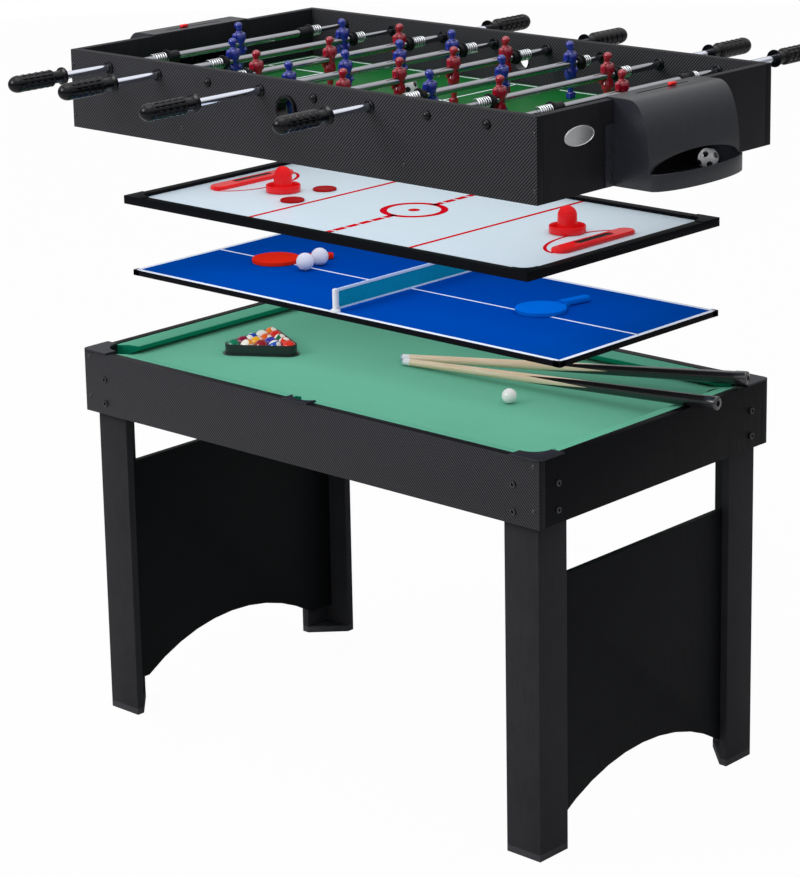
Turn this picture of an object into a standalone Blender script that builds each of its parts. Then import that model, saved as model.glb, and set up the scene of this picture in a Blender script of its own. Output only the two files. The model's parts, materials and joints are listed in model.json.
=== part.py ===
# Multi game table: a pool table on four legs, with a table tennis top, an air hockey top
# and a table football unit laid out above it, each one lifted clear of the one below.
# Metres, +Z up, +X to the right, -Y towards the player at the front.
# The origin is on the floor under the middle of the table.

import math

import bmesh
import bpy
from mathutils import Matrix, Vector

# Overall sizes and shared clearances

table_length = 1.070
table_width = 0.610
table_height = 0.690
board_thickness = 0.015
gap = 0.0003
overlap = 0.001
cut_overrun = 0.004
merge_distance = 0.00001

# Pool table frame and legs

apron_height = 0.113
leg_width = 0.071
foot_plate_height = 0.012
end_panel_drop = 0.220
end_panel_thickness = 0.012
arch_spring_height = 0.047
arch_rise = 0.065
arch_side_margin = 0.056
arch_steps = 10

# Playing bed, cushions and pockets

bed_drop = 0.021
bed_thickness = 0.011
cushion_width = 0.030
cushion_drop = 0.001
cushion_nose_drop = 0.005
cushion_nose_depth = 0.008
cushion_foot_share = 0.55
cushion_mitre_share = 1.10
pocket_radius = 0.0225
pocket_rim_step = 0.0008
pocket_wall = 0.0016
pocket_depth = 0.042
pocket_cap_thickness = 0.003
pocket_cap_lip = 0.003
pocket_cap_reach = 0.0595
pocket_cap_arc_radius = 0.0323
side_cap_reach = 0.021
side_cap_half_width = 0.029
pocket_sides = 16
cap_arc_steps = 8
cap_corner_radius = 0.010

# Loose pool pieces

pool_ball_radius = 0.0130
ball_rings = 6
rack_wall = 0.0022
rack_height = 0.024
rack_flange = 0.0045
rack_flange_thickness = 0.002
rack_corner_radius = 0.014
rack_corner_steps = 3
rack_rows = 5
rack_place_shares = (-0.313, -0.074)
rack_turn_degrees = 33.0
cue_ball_place_shares = (0.224, -0.049)
cue_length = 0.655
cue_tip_radius = 0.0063
cue_butt_radius = 0.0112
cue_cap_radius = 0.0120
cue_cap_length = 0.022
cue_ferrule_length = 0.018
cue_sides = 10
cue_back_tip_shares = (-0.081, 0.089)
cue_back_butt_shares = (0.525, 0.408)
cue_front_tip_shares = (-0.062, 0.059)
cue_front_butt_shares = (0.527, 0.154)

# Table tennis top

tennis_length = 1.000
tennis_width = 0.420
tennis_rise = 0.136
tennis_thickness = 0.010
tennis_edge_bevel = 0.001
net_height = 0.040
net_thickness = 0.0016
net_tape_height = 0.005
net_tape_thickness = 0.0030
net_post_radius = 0.0048
net_foot_radius = 0.0085
net_foot_height = 0.004
net_post_inset = 0.008
net_ground_clearance = 0.003
bat_blade_radius = 0.044
bat_blade_thickness = 0.007
bat_handle_length = 0.062
bat_handle_width = 0.018
bat_handle_thickness = 0.011
bat_throat_width = 0.030
bat_arc_steps = 22
bat_red_place_shares = (-0.341, -0.007)
bat_red_turn_degrees = 50.0
bat_blue_place_shares = (0.270, 0.045)
bat_blue_turn_degrees = 80.0

# Air hockey top

hockey_length = 0.940
hockey_width = 0.505
hockey_rise = 0.148
hockey_frame_width = 0.019
hockey_frame_height = 0.014
hockey_surface_drop = 0.006
hockey_board_thickness = 0.004
hockey_corner_radius = 0.022
hockey_corner_block = 0.046
hockey_corner_rise = 0.0012
hockey_corner_steps = 5
hockey_goal_length = 0.200
hockey_goal_width = 0.034
hockey_goal_height = 0.011
hockey_goal_slot_length = 0.092
hockey_goal_slot_width = 0.010
hockey_goal_floor = 0.002
hockey_goal_place_share = 0.425
striker_radius = 0.0315
striker_rim_height = 0.013
striker_floor = 0.003
striker_wall = 0.003
striker_knob_radius = 0.0165
striker_height = 0.046
striker_sides = 14
striker_left_place_shares = (-0.309, -0.059)
striker_right_place_shares = (0.340, 0.059)

# Table football cabinet

football_rise = 0.126
football_height = 0.139
field_rise = 0.050
field_thickness = 0.005
rod_axis_drop = 0.023
rod_end_gap = 0.08495
goal_half_width = 0.075
goal_height = 0.052
chute_drop = 0.047
chute_radius = 0.0185
chute_rim = 0.004
chute_proud = 0.006
chute_sides = 16

# Moulded goal and ball return on each end

box_half_width = 0.118
box_wall = 0.0025
box_ledge = 0.028
box_depth = 0.072
box_tray_bulge = 0.032
box_tray_height = 0.027
box_arch_half_width = 0.113
box_arch_rise = 0.024
box_ear_width = 0.022
box_ear_height = 0.100
box_curve_steps = 7
box_tray_steps = 10
box_curve_power_share = 0.85
score_slot_length = 0.136
score_slot_width = 0.004
score_slot_place_share = 0.45
marker_rest = 0.025
marker_length = 0.016
marker_width = 0.008
marker_height = 0.005
marker_stem = 0.0032

# Player rods

tube_radius = 0.0065
tube_bore = 0.0051
inner_rod_radius = 0.0044
tube_sides = 8
running_gap = 0.0004
rod_overhang = 0.236
rod_rest_shift_share = 0.1035
inner_rod_inset = 0.020
bush_flange_radius = 0.0108
bush_flange_thickness = 0.0035
bush_sleeve_radius = 0.0085
bush_sides = 8
dome_radius = 0.0078
dome_depth = 0.0075
dome_blind_share = 0.35
bumper_disc_radius = 0.0135
bumper_disc_thickness = 0.003
bumper_sleeve_radius = 0.0098
bumper_sleeve_length = 0.009
keeper_sleeve_length = 0.024
bumper_sides = 8
bumper_man_gap = 0.001
keeper_bumper_share = 0.267
spring_radius = 0.0088
spring_wire = 0.0008
spring_turns = 2.75
spring_pitch = 0.0045
spring_lead = 0.0018
points_per_turn = 8
grip_length = 0.118
grip_collar_radius = 0.0155
grip_neck_radius = 0.0105
grip_radius = 0.0145
grip_groove_depth = 0.0016
grip_ribs = 4
grip_sides = 10
grip_collar_length = 0.006
grip_neck_length = 0.016

# Players: height from the rod to the foot and to the crown, body width and depth

man_foot_drop = 0.0605
man_crown_rise = 0.0405
man_half_width = 0.0150
man_half_depth = 0.0105
# each row: height (-1 foot, 0 rod, +1 crown), half width, half depth, forward shift
man_section_shares = (
    (-1.00, 0.50, 0.48, 0.08),
    (-0.83, 0.50, 0.48, 0.08),
    (-0.79, 0.32, 0.40, 0.00),
    (-0.55, 0.44, 0.50, 0.00),
    (-0.22, 0.80, 0.86, 0.00),
    (0.30, 1.00, 0.98, 0.00),
    (0.53, 0.32, 0.42, 0.00),
    (0.62, 0.43, 0.64, 0.05),
    (0.88, 0.45, 0.66, 0.05),
    (1.00, 0.22, 0.34, 0.00),
)

# Spacing of two, three and four players as shares of the clear width between the walls
player_spacing_shares = (0.479, 0.312, 0.2362)

# Eight rods from the left: players, the side of the handle and the share of
# rod_rest_shift by which the rod stands off the middle
rods = (
    {"players": 1, "team": "blue", "side": -1, "rest_share": 0.4},
    {"players": 2, "team": "blue", "side": -1, "rest_share": 0.5},
    {"players": 3, "team": "red", "side": 1, "rest_share": -0.3},
    {"players": 4, "team": "blue", "side": -1, "rest_share": -1.0},
    {"players": 4, "team": "red", "side": 1, "rest_share": -1.0},
    {"players": 3, "team": "blue", "side": -1, "rest_share": 0.7},
    {"players": 2, "team": "red", "side": 1, "rest_share": 0.3},
    {"players": 1, "team": "red", "side": 1, "rest_share": 1.0},
)

# Places worked out from the sizes above

half_length = table_length / 2
half_width = table_width / 2
inner_half_length = half_length - board_thickness
inner_half_width = half_width - board_thickness
rail_width = board_thickness + cushion_width
end_panel_top = table_height - end_panel_drop
bed_top = table_height - bed_drop
leg_height = bed_top - bed_thickness - gap
cushion_top = table_height - cushion_drop
cup_bore = pocket_radius + pocket_rim_step
cup_radius = cup_bore + pocket_wall
collar_bore = pocket_cap_arc_radius + pocket_rim_step
collar_radius = collar_bore + pocket_wall
corner_pocket_inset = 2 * board_thickness + 2 * gap + cup_radius
side_pocket_inset = board_thickness + gap + cup_radius
cue_ball_height = bed_top + gap + pool_ball_radius
tennis_surface = table_height + tennis_rise
hockey_top = tennis_surface + hockey_rise
hockey_surface = hockey_top - hockey_surface_drop
football_floor = hockey_top + football_rise
football_top = football_floor + football_height
field_top = football_floor + field_rise
rod_axis_height = football_top - rod_axis_drop
chute_height = football_top - chute_drop
rod_reach = half_width + rod_overhang
rod_rest_shift = inner_half_width * rod_rest_shift_share
clear_width = 2 * inner_half_width
rod_pitch = 2 * (inner_half_length - rod_end_gap) / (len(rods) - 1)

colours = {
    "carbon_board": (0.030, 0.033, 0.037),
    "black_board": (0.012, 0.012, 0.014),
    "black_plastic": (0.014, 0.014, 0.016),
    "bed_cloth": (0.115, 0.375, 0.265),
    "cushion_cloth": (0.020, 0.260, 0.160),
    "white_ball": (0.85, 0.86, 0.86),
    "cue_wood": (0.640, 0.470, 0.290),
    "tennis_blue": (0.000, 0.070, 0.400),
    "net_teal": (0.020, 0.240, 0.300),
    "bat_red": (0.750, 0.030, 0.015),
    "bat_blue": (0.010, 0.190, 0.680),
    "ice_white": (0.640, 0.720, 0.780),
    "game_red": (0.780, 0.020, 0.020),
    "field_green": (0.010, 0.150, 0.035),
    "chrome": (0.720, 0.730, 0.750),
}
finishes = {
    "carbon_board": (0.42, 0.0),
    "black_board": (0.45, 0.0),
    "black_plastic": (0.40, 0.0),
    "bed_cloth": (0.90, 0.0),
    "cushion_cloth": (0.90, 0.0),
    "white_ball": (0.15, 0.0),
    "cue_wood": (0.35, 0.0),
    "tennis_blue": (0.40, 0.0),
    "net_teal": (0.80, 0.0),
    "bat_red": (0.40, 0.0),
    "bat_blue": (0.40, 0.0),
    "ice_white": (0.20, 0.0),
    "game_red": (0.25, 0.0),
    "field_green": (0.35, 0.0),
    "chrome": (0.18, 1.0),
}


# Scene and object helpers


def clear_scene():
    for item in list(bpy.data.objects):
        bpy.data.objects.remove(item, do_unlink=True)


def new_collection(name):
    collection = bpy.data.collections.new(name)
    bpy.context.scene.collection.children.link(collection)
    return collection


def new_object(name, mesh):
    item = bpy.data.objects.new(name, mesh)
    work.objects.link(item)
    return item


def move_to(item, collection):
    for holder in list(item.users_collection):
        holder.objects.unlink(item)
    collection.objects.link(item)


def put_aside(item):
    move_to(item, cutters)
    item.hide_render = True
    item.display_type = "WIRE"


def evaluated_mesh(item):
    bpy.context.view_layer.update()
    graph = bpy.context.evaluated_depsgraph_get()
    return bpy.data.meshes.new_from_object(item.evaluated_get(graph))


def bake(item):
    """Put the result of the item's modifiers in its mesh."""
    mesh = evaluated_mesh(item)
    item.modifiers.clear()
    item.data = mesh
    return item


def weld(mesh, flat_faces=True):
    """Merge doubled points; faces that may be twisted are split into triangles."""
    shape = bmesh.new()
    shape.from_mesh(mesh)
    bmesh.ops.remove_doubles(shape, verts=shape.verts, dist=merge_distance)
    if not flat_faces:
        bmesh.ops.triangulate(shape, faces=shape.faces)
    bmesh.ops.recalc_face_normals(shape, faces=shape.faces)
    shape.to_mesh(mesh)
    shape.free()


def finish(item, colour, smooth_degrees=0.0):
    """Give the item its own material and put it among the parts."""
    material = bpy.data.materials.new(item.name + "_finish")
    material.use_nodes = True
    shader = material.node_tree.nodes["Principled BSDF"]
    shader.inputs["Base Color"].default_value = (*colours[colour], 1.0)
    shader.inputs["Roughness"].default_value = finishes[colour][0]
    shader.inputs["Metallic"].default_value = finishes[colour][1]
    item.data.materials.clear()
    item.data.materials.append(material)
    if smooth_degrees:
        item.data.shade_smooth()
        item.data.set_sharp_from_angle(angle=math.radians(smooth_degrees))
    move_to(item, parts)
    return item


def facing(direction):
    """A turn that lays a flat outline drawn in XY so that it faces this way."""
    if direction == "front":
        return Matrix.Rotation(math.pi / 2, 4, "X")
    if direction == "side":
        return Matrix.Rotation(math.pi / 2, 4, "Z") @ Matrix.Rotation(math.pi / 2, 4, "X")
    return Matrix.Identity(4)


# Shapes


def box(name, low, high, bevel=0.0):
    size = [top - bottom for bottom, top in zip(low, high)]
    shape = bmesh.new()
    bmesh.ops.create_cube(shape, size=1.0)
    bmesh.ops.scale(shape, vec=size, verts=shape.verts)
    mesh = bpy.data.meshes.new(name)
    shape.to_mesh(mesh)
    shape.free()
    item = new_object(name, mesh)
    item.location = [(top + bottom) / 2 for bottom, top in zip(low, high)]
    if bevel:
        soften(item, bevel)
    return item


def soften(item, width, degrees=50.0):
    edge = item.modifiers.new("soft_edge", "BEVEL")
    edge.width = width
    edge.segments = 1
    edge.limit_method = "ANGLE"
    edge.angle_limit = math.radians(degrees)
    return bake(item)


def plate(name, outline, thickness, direction="up", centre=(0, 0, 0)):
    """A flat outline given a thickness, half to each side of its centre plane."""
    curve = bpy.data.curves.new(name, "CURVE")
    curve.dimensions = "2D"
    curve.fill_mode = "BOTH"
    curve.extrude = thickness / 2
    spline = curve.splines.new("POLY")
    spline.points.add(len(outline) - 1)
    for point, place in zip(spline.points, outline):
        point.co = (place[0], place[1], 0, 1)
    spline.use_cyclic_u = True
    drawn = new_object(name + "_outline", curve)
    item = new_object(name, evaluated_mesh(drawn))
    bpy.data.objects.remove(drawn, do_unlink=True)
    weld(item.data)
    item.matrix_world = Matrix.Translation(centre) @ facing(direction)
    return item


def turned(name, profile, sides):
    """A profile of (radius, height) turned about Z. It runs down its outer side."""
    mesh = bpy.data.meshes.new(name)
    points = [(radius, 0, height) for radius, height in profile]
    edges = [(index, index + 1) for index in range(len(points) - 1)]
    mesh.from_pydata(points, edges, [])
    item = new_object(name, mesh)
    screw = item.modifiers.new("turn", "SCREW")
    screw.steps = sides
    screw.render_steps = sides
    screw.use_merge_vertices = True
    screw.merge_threshold = merge_distance
    bake(item)
    weld(item.data)
    return item


def wound(name, points, radius):
    """A round wire along the points, with closed ends."""
    curve = bpy.data.curves.new(name, "CURVE")
    curve.dimensions = "3D"
    curve.bevel_depth = radius
    curve.bevel_resolution = 1
    curve.use_fill_caps = True
    spline = curve.splines.new("POLY")
    spline.points.add(len(points) - 1)
    for point, place in zip(spline.points, points):
        point.co = (*place, 1)
    drawn = new_object(name + "_path", curve)
    item = new_object(name, evaluated_mesh(drawn))
    bpy.data.objects.remove(drawn, do_unlink=True)
    weld(item.data, flat_faces=False)
    return item


def lofted(name, sections):
    """Closed skin through rings of points, each ring with the same count."""
    shape = bmesh.new()
    rings = [[shape.verts.new(point) for point in ring] for ring in sections]
    count = len(rings[0])
    for lower, upper in zip(rings, rings[1:]):
        for index in range(count):
            after = (index + 1) % count
            shape.faces.new((lower[index], lower[after], upper[after], upper[index]))
    shape.faces.new(reversed(rings[0]))
    shape.faces.new(rings[-1])
    mesh = bpy.data.meshes.new(name)
    shape.to_mesh(mesh)
    shape.free()
    weld(mesh, flat_faces=False)
    return new_object(name, mesh)


def gathered(name, items):
    """One object that holds several separate solids, in world space."""
    shape = bmesh.new()
    for item in items:
        mesh = evaluated_mesh(item)
        mesh.transform(item.matrix_world)
        shape.from_mesh(mesh)
        bpy.data.objects.remove(item, do_unlink=True)
    mesh = bpy.data.meshes.new(name)
    shape.to_mesh(mesh)
    shape.free()
    return new_object(name, mesh)


def combine(item, other, operation):
    change = item.modifiers.new(operation.lower(), "BOOLEAN")
    change.operation = operation
    change.solver = "EXACT"
    change.object = other
    bake(item)
    put_aside(other)
    return item


def cut(item, tool):
    return combine(item, tool, "DIFFERENCE")


def join(item, other):
    return combine(item, other, "UNION")


def cylinder(name, radius, low, high, sides, centre=(0, 0), direction="up"):
    item = turned(name, [(0, high), (radius, high), (radius, low), (0, low)], sides)
    if direction == "front":
        # the height runs along -Y, so low and high are depths from Y = 0
        item.matrix_world = Matrix.Translation((centre[0], 0, centre[1])) @ facing("front")
    else:
        item.location = (centre[0], centre[1], 0)
    return item


def arc(centre, radius, start, stop, steps):
    """Points on an arc, in degrees from +X, both ends included."""
    places = []
    for index in range(steps + 1):
        angle = math.radians(start + (stop - start) * index / steps)
        places.append((
            centre[0] + radius * math.cos(angle),
            centre[1] + radius * math.sin(angle),
        ))
    return places


def rounded_rectangle(half_x, half_y, radius, steps):
    outline = []
    corners = ((1, 1, 0), (-1, 1, 90), (-1, -1, 180), (1, -1, 270))
    for side_x, side_y, start in corners:
        centre = (side_x * (half_x - radius), side_y * (half_y - radius))
        outline += arc(centre, radius, start, start + 90, steps)
    return outline


# Pool table


def make_aprons():
    bottom = table_height - apron_height
    for name, side in (("apron_front", -1), ("apron_back", 1)):
        low, high = sorted((side * half_width, side * inner_half_width))
        item = box(name, (-half_length, low, bottom), (half_length, high, table_height))
        # the side pocket's collar is let into the board from inside
        spread = math.cos(math.pi / pocket_sides)
        cut(item, cylinder(
            name + "_notch", collar_radius / spread + gap, bed_top, table_height + cut_overrun,
            pocket_sides, (0, side * (half_width - side_pocket_inset)),
        ))
        finish(item, "carbon_board")
    end_half = inner_half_width - gap
    for name, side in (("apron_left", -1), ("apron_right", 1)):
        low, high = sorted((side * half_length, side * inner_half_length))
        item = box(name, (low, -end_half, bottom), (high, end_half, table_height))
        finish(item, "black_board")


def make_legs():
    width = leg_width
    wall = board_thickness
    angle_outline = ((0, 0), (width, 0), (width, wall), (wall, wall), (wall, width), (0, width))
    foot_outline = ((0, 0), (width, 0), (width, wall), (wall, width), (0, width))
    for name, side_x, side_y in (
        ("leg_front_left", -1, -1), ("leg_front_right", 1, -1),
        ("leg_back_left", -1, 1), ("leg_back_right", 1, 1),
    ):
        corner = (side_x * (inner_half_length - gap), side_y * (inner_half_width - gap))

        def placed(outline):
            return [
                (corner[0] - side_x * across, corner[1] - side_y * along)
                for across, along in outline
            ]

        item = plate(name, placed(angle_outline), leg_height, "up", (0, 0, leg_height / 2))
        foot = plate(
            name + "_foot", placed(foot_outline), foot_plate_height,
            "up", (0, 0, foot_plate_height / 2),
        )
        join(item, foot)
        finish(item, "black_board")


def make_end_panels():
    half = inner_half_width - board_thickness - 2 * gap
    arch_half = half - arch_side_margin
    radius = (arch_half * arch_half + arch_rise * arch_rise) / (2 * arch_rise)
    opening = math.degrees(math.asin(arch_half / radius))
    centre = (0, arch_spring_height + arch_rise - radius)
    curve = arc(centre, radius, 90 + opening, 90 - opening, arch_steps)
    outline = [(-half, end_panel_top), (-half, arch_spring_height)]
    outline += curve
    outline += [(half, arch_spring_height), (half, end_panel_top)]
    inset = inner_half_length - board_thickness - 2 * gap - end_panel_thickness / 2
    for name, side in (("end_panel_left", -1), ("end_panel_right", 1)):
        item = plate(name, outline, end_panel_thickness, "side", (side * inset, 0, 0))
        finish(item, "black_board")


def pocket_places():
    corner_x = half_length - corner_pocket_inset
    corner_y = half_width - corner_pocket_inset
    side_y = half_width - side_pocket_inset
    return {
        "front_left": (-corner_x, -corner_y),
        "front_middle": (0, -side_y),
        "front_right": (corner_x, -corner_y),
        "back_left": (-corner_x, corner_y),
        "back_middle": (0, side_y),
        "back_right": (corner_x, corner_y),
    }


def make_bed():
    half_x = inner_half_length - gap
    half_y = inner_half_width - gap
    bottom = bed_top - bed_thickness
    item = box("pool_bed", (-half_x, -half_y, bottom), (half_x, half_y, bed_top))
    holes = []
    hole_radius = cup_radius / math.cos(math.pi / pocket_sides) + gap
    for name, (x, y) in pocket_places().items():
        holes.append(cylinder(
            "hole_" + name, hole_radius, bottom - cut_overrun, bed_top + cut_overrun,
            pocket_sides, (x, y),
        ))
    cut(item, gathered("bed_holes", holes))
    finish(item, "bed_cloth")


def cushion(name, start, stop, start_mitre, stop_mitre, turn, reach):
    """A rail cushion along local X, its back on local Y = 0 and its nose at +Y."""
    base = bed_top + gap
    nose = cushion_top - cushion_nose_drop
    profile = (
        (0, base),
        (0, cushion_top),
        (cushion_width * cushion_foot_share, cushion_top - cushion_drop),
        (cushion_width, nose),
        (cushion_width, nose - cushion_nose_depth),
        (cushion_width * cushion_foot_share, base),
    )
    sections = []
    for place, mitre in ((start, start_mitre), (stop, -stop_mitre)):
        sections.append([(place + mitre * depth, depth, height) for depth, height in profile])
    item = lofted(name, sections)
    item.matrix_world = Matrix.Rotation(math.radians(turn), 4, "Z") @ Matrix.Translation((0, reach, 0))
    return finish(item, "cushion_cloth")


def make_cushions():
    # the back of each cushion stands one gap off its apron, and local +Y points inwards
    corner = half_length - pocket_cap_reach - gap
    side = side_cap_half_width + gap
    end = half_width - pocket_cap_reach - gap
    mitre = cushion_mitre_share
    near = -(inner_half_width - gap)
    cushion("cushion_front_left", -corner, -side, mitre, 0, 0, near)
    cushion("cushion_front_right", side, corner, 0, mitre, 0, near)
    cushion("cushion_back_right", -corner, -side, mitre, 0, 180, near)
    cushion("cushion_back_left", side, corner, 0, mitre, 180, near)
    far = -(inner_half_length - gap)
    cushion("cushion_right", -end, end, mitre, mitre, 90, far)
    cushion("cushion_left", -end, end, mitre, mitre, -90, far)


def corner_cap_outline(side_x, side_y):
    """Cap over a corner, drawn from the outer corner inwards and then mirrored."""
    lip = -pocket_cap_lip
    inset = corner_pocket_inset
    start = math.degrees(math.asin((pocket_cap_reach - inset) / pocket_cap_arc_radius))
    curve = arc((inset, inset), pocket_cap_arc_radius, start - 90, -180 - start, cap_arc_steps)
    radius = cap_corner_radius
    outline = arc((lip + radius, lip + radius), radius, 180, 270, 2)
    outline += [(pocket_cap_reach, lip)] + curve + [(lip, pocket_cap_reach)]
    return [(side_x * (half_length - u), side_y * (half_width - v)) for u, v in outline]


def side_cap_outline(side_y):
    lip = -pocket_cap_lip
    inset = side_pocket_inset
    reach = side_cap_reach
    half = side_cap_half_width
    start = math.degrees(math.asin((inset - reach) / pocket_cap_arc_radius))
    curve = arc((0, inset), pocket_cap_arc_radius, -start, start - 180, cap_arc_steps)
    outline = [(-half, reach), (-half, lip), (half, lip), (half, reach)] + curve
    return [(u, side_y * (half_width - v)) for u, v in outline]


def make_pockets():
    cap_low = table_height + gap
    cap_high = cap_low + pocket_cap_thickness
    cup_low = bed_top - bed_thickness - pocket_depth
    seat = bed_top + gap
    # how far outwards of its middle the collar ends, under the ends of its cap
    beyond = pocket_cap_reach - corner_pocket_inset
    corner_mouth = (math.sqrt(collar_radius ** 2 - beyond ** 2) - beyond) / math.sqrt(2) + overlap
    side_mouth = side_pocket_inset - side_cap_reach + overlap
    for name, (x, y) in pocket_places().items():
        side_x = (x > 0) - (x < 0)
        side_y = (y > 0) - (y < 0)
        outline = corner_cap_outline(side_x, side_y) if side_x else side_cap_outline(side_y)
        cap = plate(
            "pocket_" + name, outline, pocket_cap_thickness, "up",
            (0, 0, (cap_low + cap_high) / 2),
        )
        cup = turned("cup_" + name, [
            (0, cup_low + pocket_wall),
            (cup_bore, cup_low + pocket_wall),
            (cup_bore, seat + pocket_wall),
            (collar_bore, seat + pocket_wall),
            (collar_bore, cap_low + overlap),
            (collar_radius, cap_low + overlap),
            (collar_radius, seat),
            (cup_radius, seat),
            (cup_radius, cup_low),
            (0, cup_low),
        ], pocket_sides)
        cup.location = (x, y, 0)
        # above the bed the collar is open towards the table
        away = math.atan2(-side_y, -side_x)
        mouth = corner_mouth if side_x else side_mouth
        reach = collar_radius + cut_overrun
        opening = box(
            "mouth_" + name, (-mouth, -reach, bed_top), (reach, reach, cap_high + cut_overrun),
        )
        turn = Matrix.Translation((x, y, 0)) @ Matrix.Rotation(away, 4, "Z")
        opening.matrix_world = turn @ Matrix.Translation(opening.location)
        cut(cup, opening)
        join(cap, cup)
        finish(cap, "black_plastic", 30)


# Loose pool pieces


def make_cue_ball():
    shape = bmesh.new()
    bmesh.ops.create_uvsphere(
        shape, u_segments=2 * ball_rings, v_segments=ball_rings, radius=pool_ball_radius,
    )
    mesh = bpy.data.meshes.new("cue_ball")
    shape.to_mesh(mesh)
    shape.free()
    item = new_object("cue_ball", mesh)
    x = cue_ball_place_shares[0] * table_length
    y = cue_ball_place_shares[1] * table_width
    item.location = (x, y, cue_ball_height)
    finish(item, "white_ball", 60)


def rack_outline(side, radius):
    """A rounded triangle whose straight sides stand this far from its middle."""
    corner = 2 * (side - radius)
    outline = []
    for index in range(3):
        angle = 90 + 120 * index
        centre = (
            corner * math.cos(math.radians(angle)),
            corner * math.sin(math.radians(angle)),
        )
        outline += arc(centre, radius, angle - 60, angle + 60, rack_corner_steps)
    return outline


def make_rack():
    # the balls of the outer ring touch the wall from the inside
    inner = pool_ball_radius + (rack_rows - 1) * pool_ball_radius / math.sqrt(3)
    outer = inner + rack_wall
    base = bed_top + gap
    item = plate(
        "ball_rack", rack_outline(outer, rack_corner_radius + rack_wall),
        rack_height, "up", (0, 0, base + rack_height / 2),
    )
    flange = plate(
        "rack_flange", rack_outline(outer + rack_flange, rack_corner_radius + rack_wall + rack_flange),
        rack_flange_thickness, "up", (0, 0, base + rack_flange_thickness / 2),
    )
    join(item, flange)
    cut(item, plate(
        "rack_inside", rack_outline(inner, rack_corner_radius),
        rack_height + 2 * cut_overrun, "up", (0, 0, base + rack_height / 2),
    ))
    x = rack_place_shares[0] * table_length
    y = rack_place_shares[1] * table_width
    turn = Matrix.Rotation(math.radians(rack_turn_degrees), 4, "Z")
    item.matrix_world = Matrix.Translation((x, y, 0)) @ turn @ item.matrix_world
    finish(item, "black_plastic", 30)


def make_cue(name, tip_shares, butt_shares, support):
    """A cue whose tip lies on the bed and whose butt lies over the right rail.

    support is the X and Z of the edge that carries the butt.
    """
    tip = Vector((tip_shares[0] * table_length, tip_shares[1] * table_width, 0))
    butt = Vector((butt_shares[0] * table_length, butt_shares[1] * table_width, 0))
    heading = (butt - tip).normalized()
    tip.z = bed_top + gap + cue_tip_radius
    run = (support[0] - tip.x) / heading.x
    grown = cue_tip_radius + (cue_butt_radius - cue_tip_radius) * run / cue_length
    slope = math.atan2(support[1] + gap + grown - tip.z, run)
    heading = (heading * math.cos(slope) + Vector((0, 0, math.sin(slope)))).normalized()
    # the profile runs down from the butt at the top to the tip at the bottom
    item = turned(name, [
        (0, cue_length),
        (cue_cap_radius - overlap, cue_length),
        (cue_cap_radius, cue_length - overlap),
        (cue_cap_radius, cue_length - cue_cap_length),
        (cue_butt_radius, cue_length - cue_cap_length),
        (cue_tip_radius, cue_ferrule_length),
        (cue_tip_radius, overlap),
        (cue_tip_radius - overlap, 0),
        (0, 0),
    ], cue_sides)
    item.matrix_world = Matrix.Translation(tip) @ heading.to_track_quat("Z", "Y").to_matrix().to_4x4()
    finish(item, "cue_wood", 30)
    print(name, "axis", [round(value, 5) for value in heading], "tip", [round(v, 5) for v in tip])


def make_cues():
    cap_top = table_height + gap + pocket_cap_thickness
    make_cue("cue_back", cue_back_tip_shares, cue_back_butt_shares,
             (half_length - rail_width, cap_top))
    make_cue("cue_front", cue_front_tip_shares, cue_front_butt_shares,
             (inner_half_length, table_height))


# Table tennis top


def make_tennis_board():
    item = box(
        "tennis_board",
        (-tennis_length / 2, -tennis_width / 2, tennis_surface - tennis_thickness),
        (tennis_length / 2, tennis_width / 2, tennis_surface),
        tennis_edge_bevel,
    )
    finish(item, "tennis_blue")


def make_net():
    base = tennis_surface + gap
    post_y = tennis_width / 2 - net_post_inset
    top = base + net_height
    # the net and its tape end inside the posts, short of their middles
    net_end = post_y - net_post_radius / 2
    item = box(
        "tennis_net",
        (-net_thickness / 2, -net_end, base + net_ground_clearance),
        (net_thickness / 2, net_end, top - net_tape_height / 2),
    )
    join(item, box(
        "net_tape",
        (-net_tape_thickness / 2, -net_end, top - net_tape_height),
        (net_tape_thickness / 2, net_end, top - overlap),
    ))
    posts = []
    for side in (-1, 1):
        post = turned("net_post", [
            (0, top),
            (net_post_radius, top),
            (net_post_radius, base + net_foot_height),
            (net_foot_radius, base + net_foot_height),
            (net_foot_radius, base),
            (0, base),
        ], bush_sides)
        post.location = (0, side * post_y, 0)
        posts.append(post)
    join(item, gathered("net_posts", posts))
    finish(item, "net_teal")


def make_bat(name, place_shares, turn_degrees, colour):
    """A bat lying flat, its handle along local +X from the blade's middle."""
    base = tennis_surface + gap
    half_throat = bat_throat_width / 2
    open_angle = math.degrees(math.asin(half_throat / bat_blade_radius))
    blade_outline = arc((0, 0), bat_blade_radius, open_angle, 360 - open_angle, bat_arc_steps)
    throat = bat_blade_radius + half_throat
    half_handle = bat_handle_width / 2
    blade_outline += [(throat, -half_handle), (throat, half_handle)]
    item = plate(
        name, blade_outline, bat_blade_thickness, "up", (0, 0, base + bat_blade_thickness / 2),
    )
    handle = box(
        name + "_handle",
        (throat - half_throat, -half_handle, base),
        (bat_blade_radius + bat_handle_length, half_handle, base + bat_handle_thickness),
        bat_handle_thickness / 5,
    )
    join(item, handle)
    x = place_shares[0] * tennis_length
    y = place_shares[1] * tennis_width
    turn = Matrix.Rotation(math.radians(turn_degrees), 4, "Z")
    item.matrix_world = Matrix.Translation((x, y, 0)) @ turn @ item.matrix_world
    finish(item, colour, 30)


# Air hockey top


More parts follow.
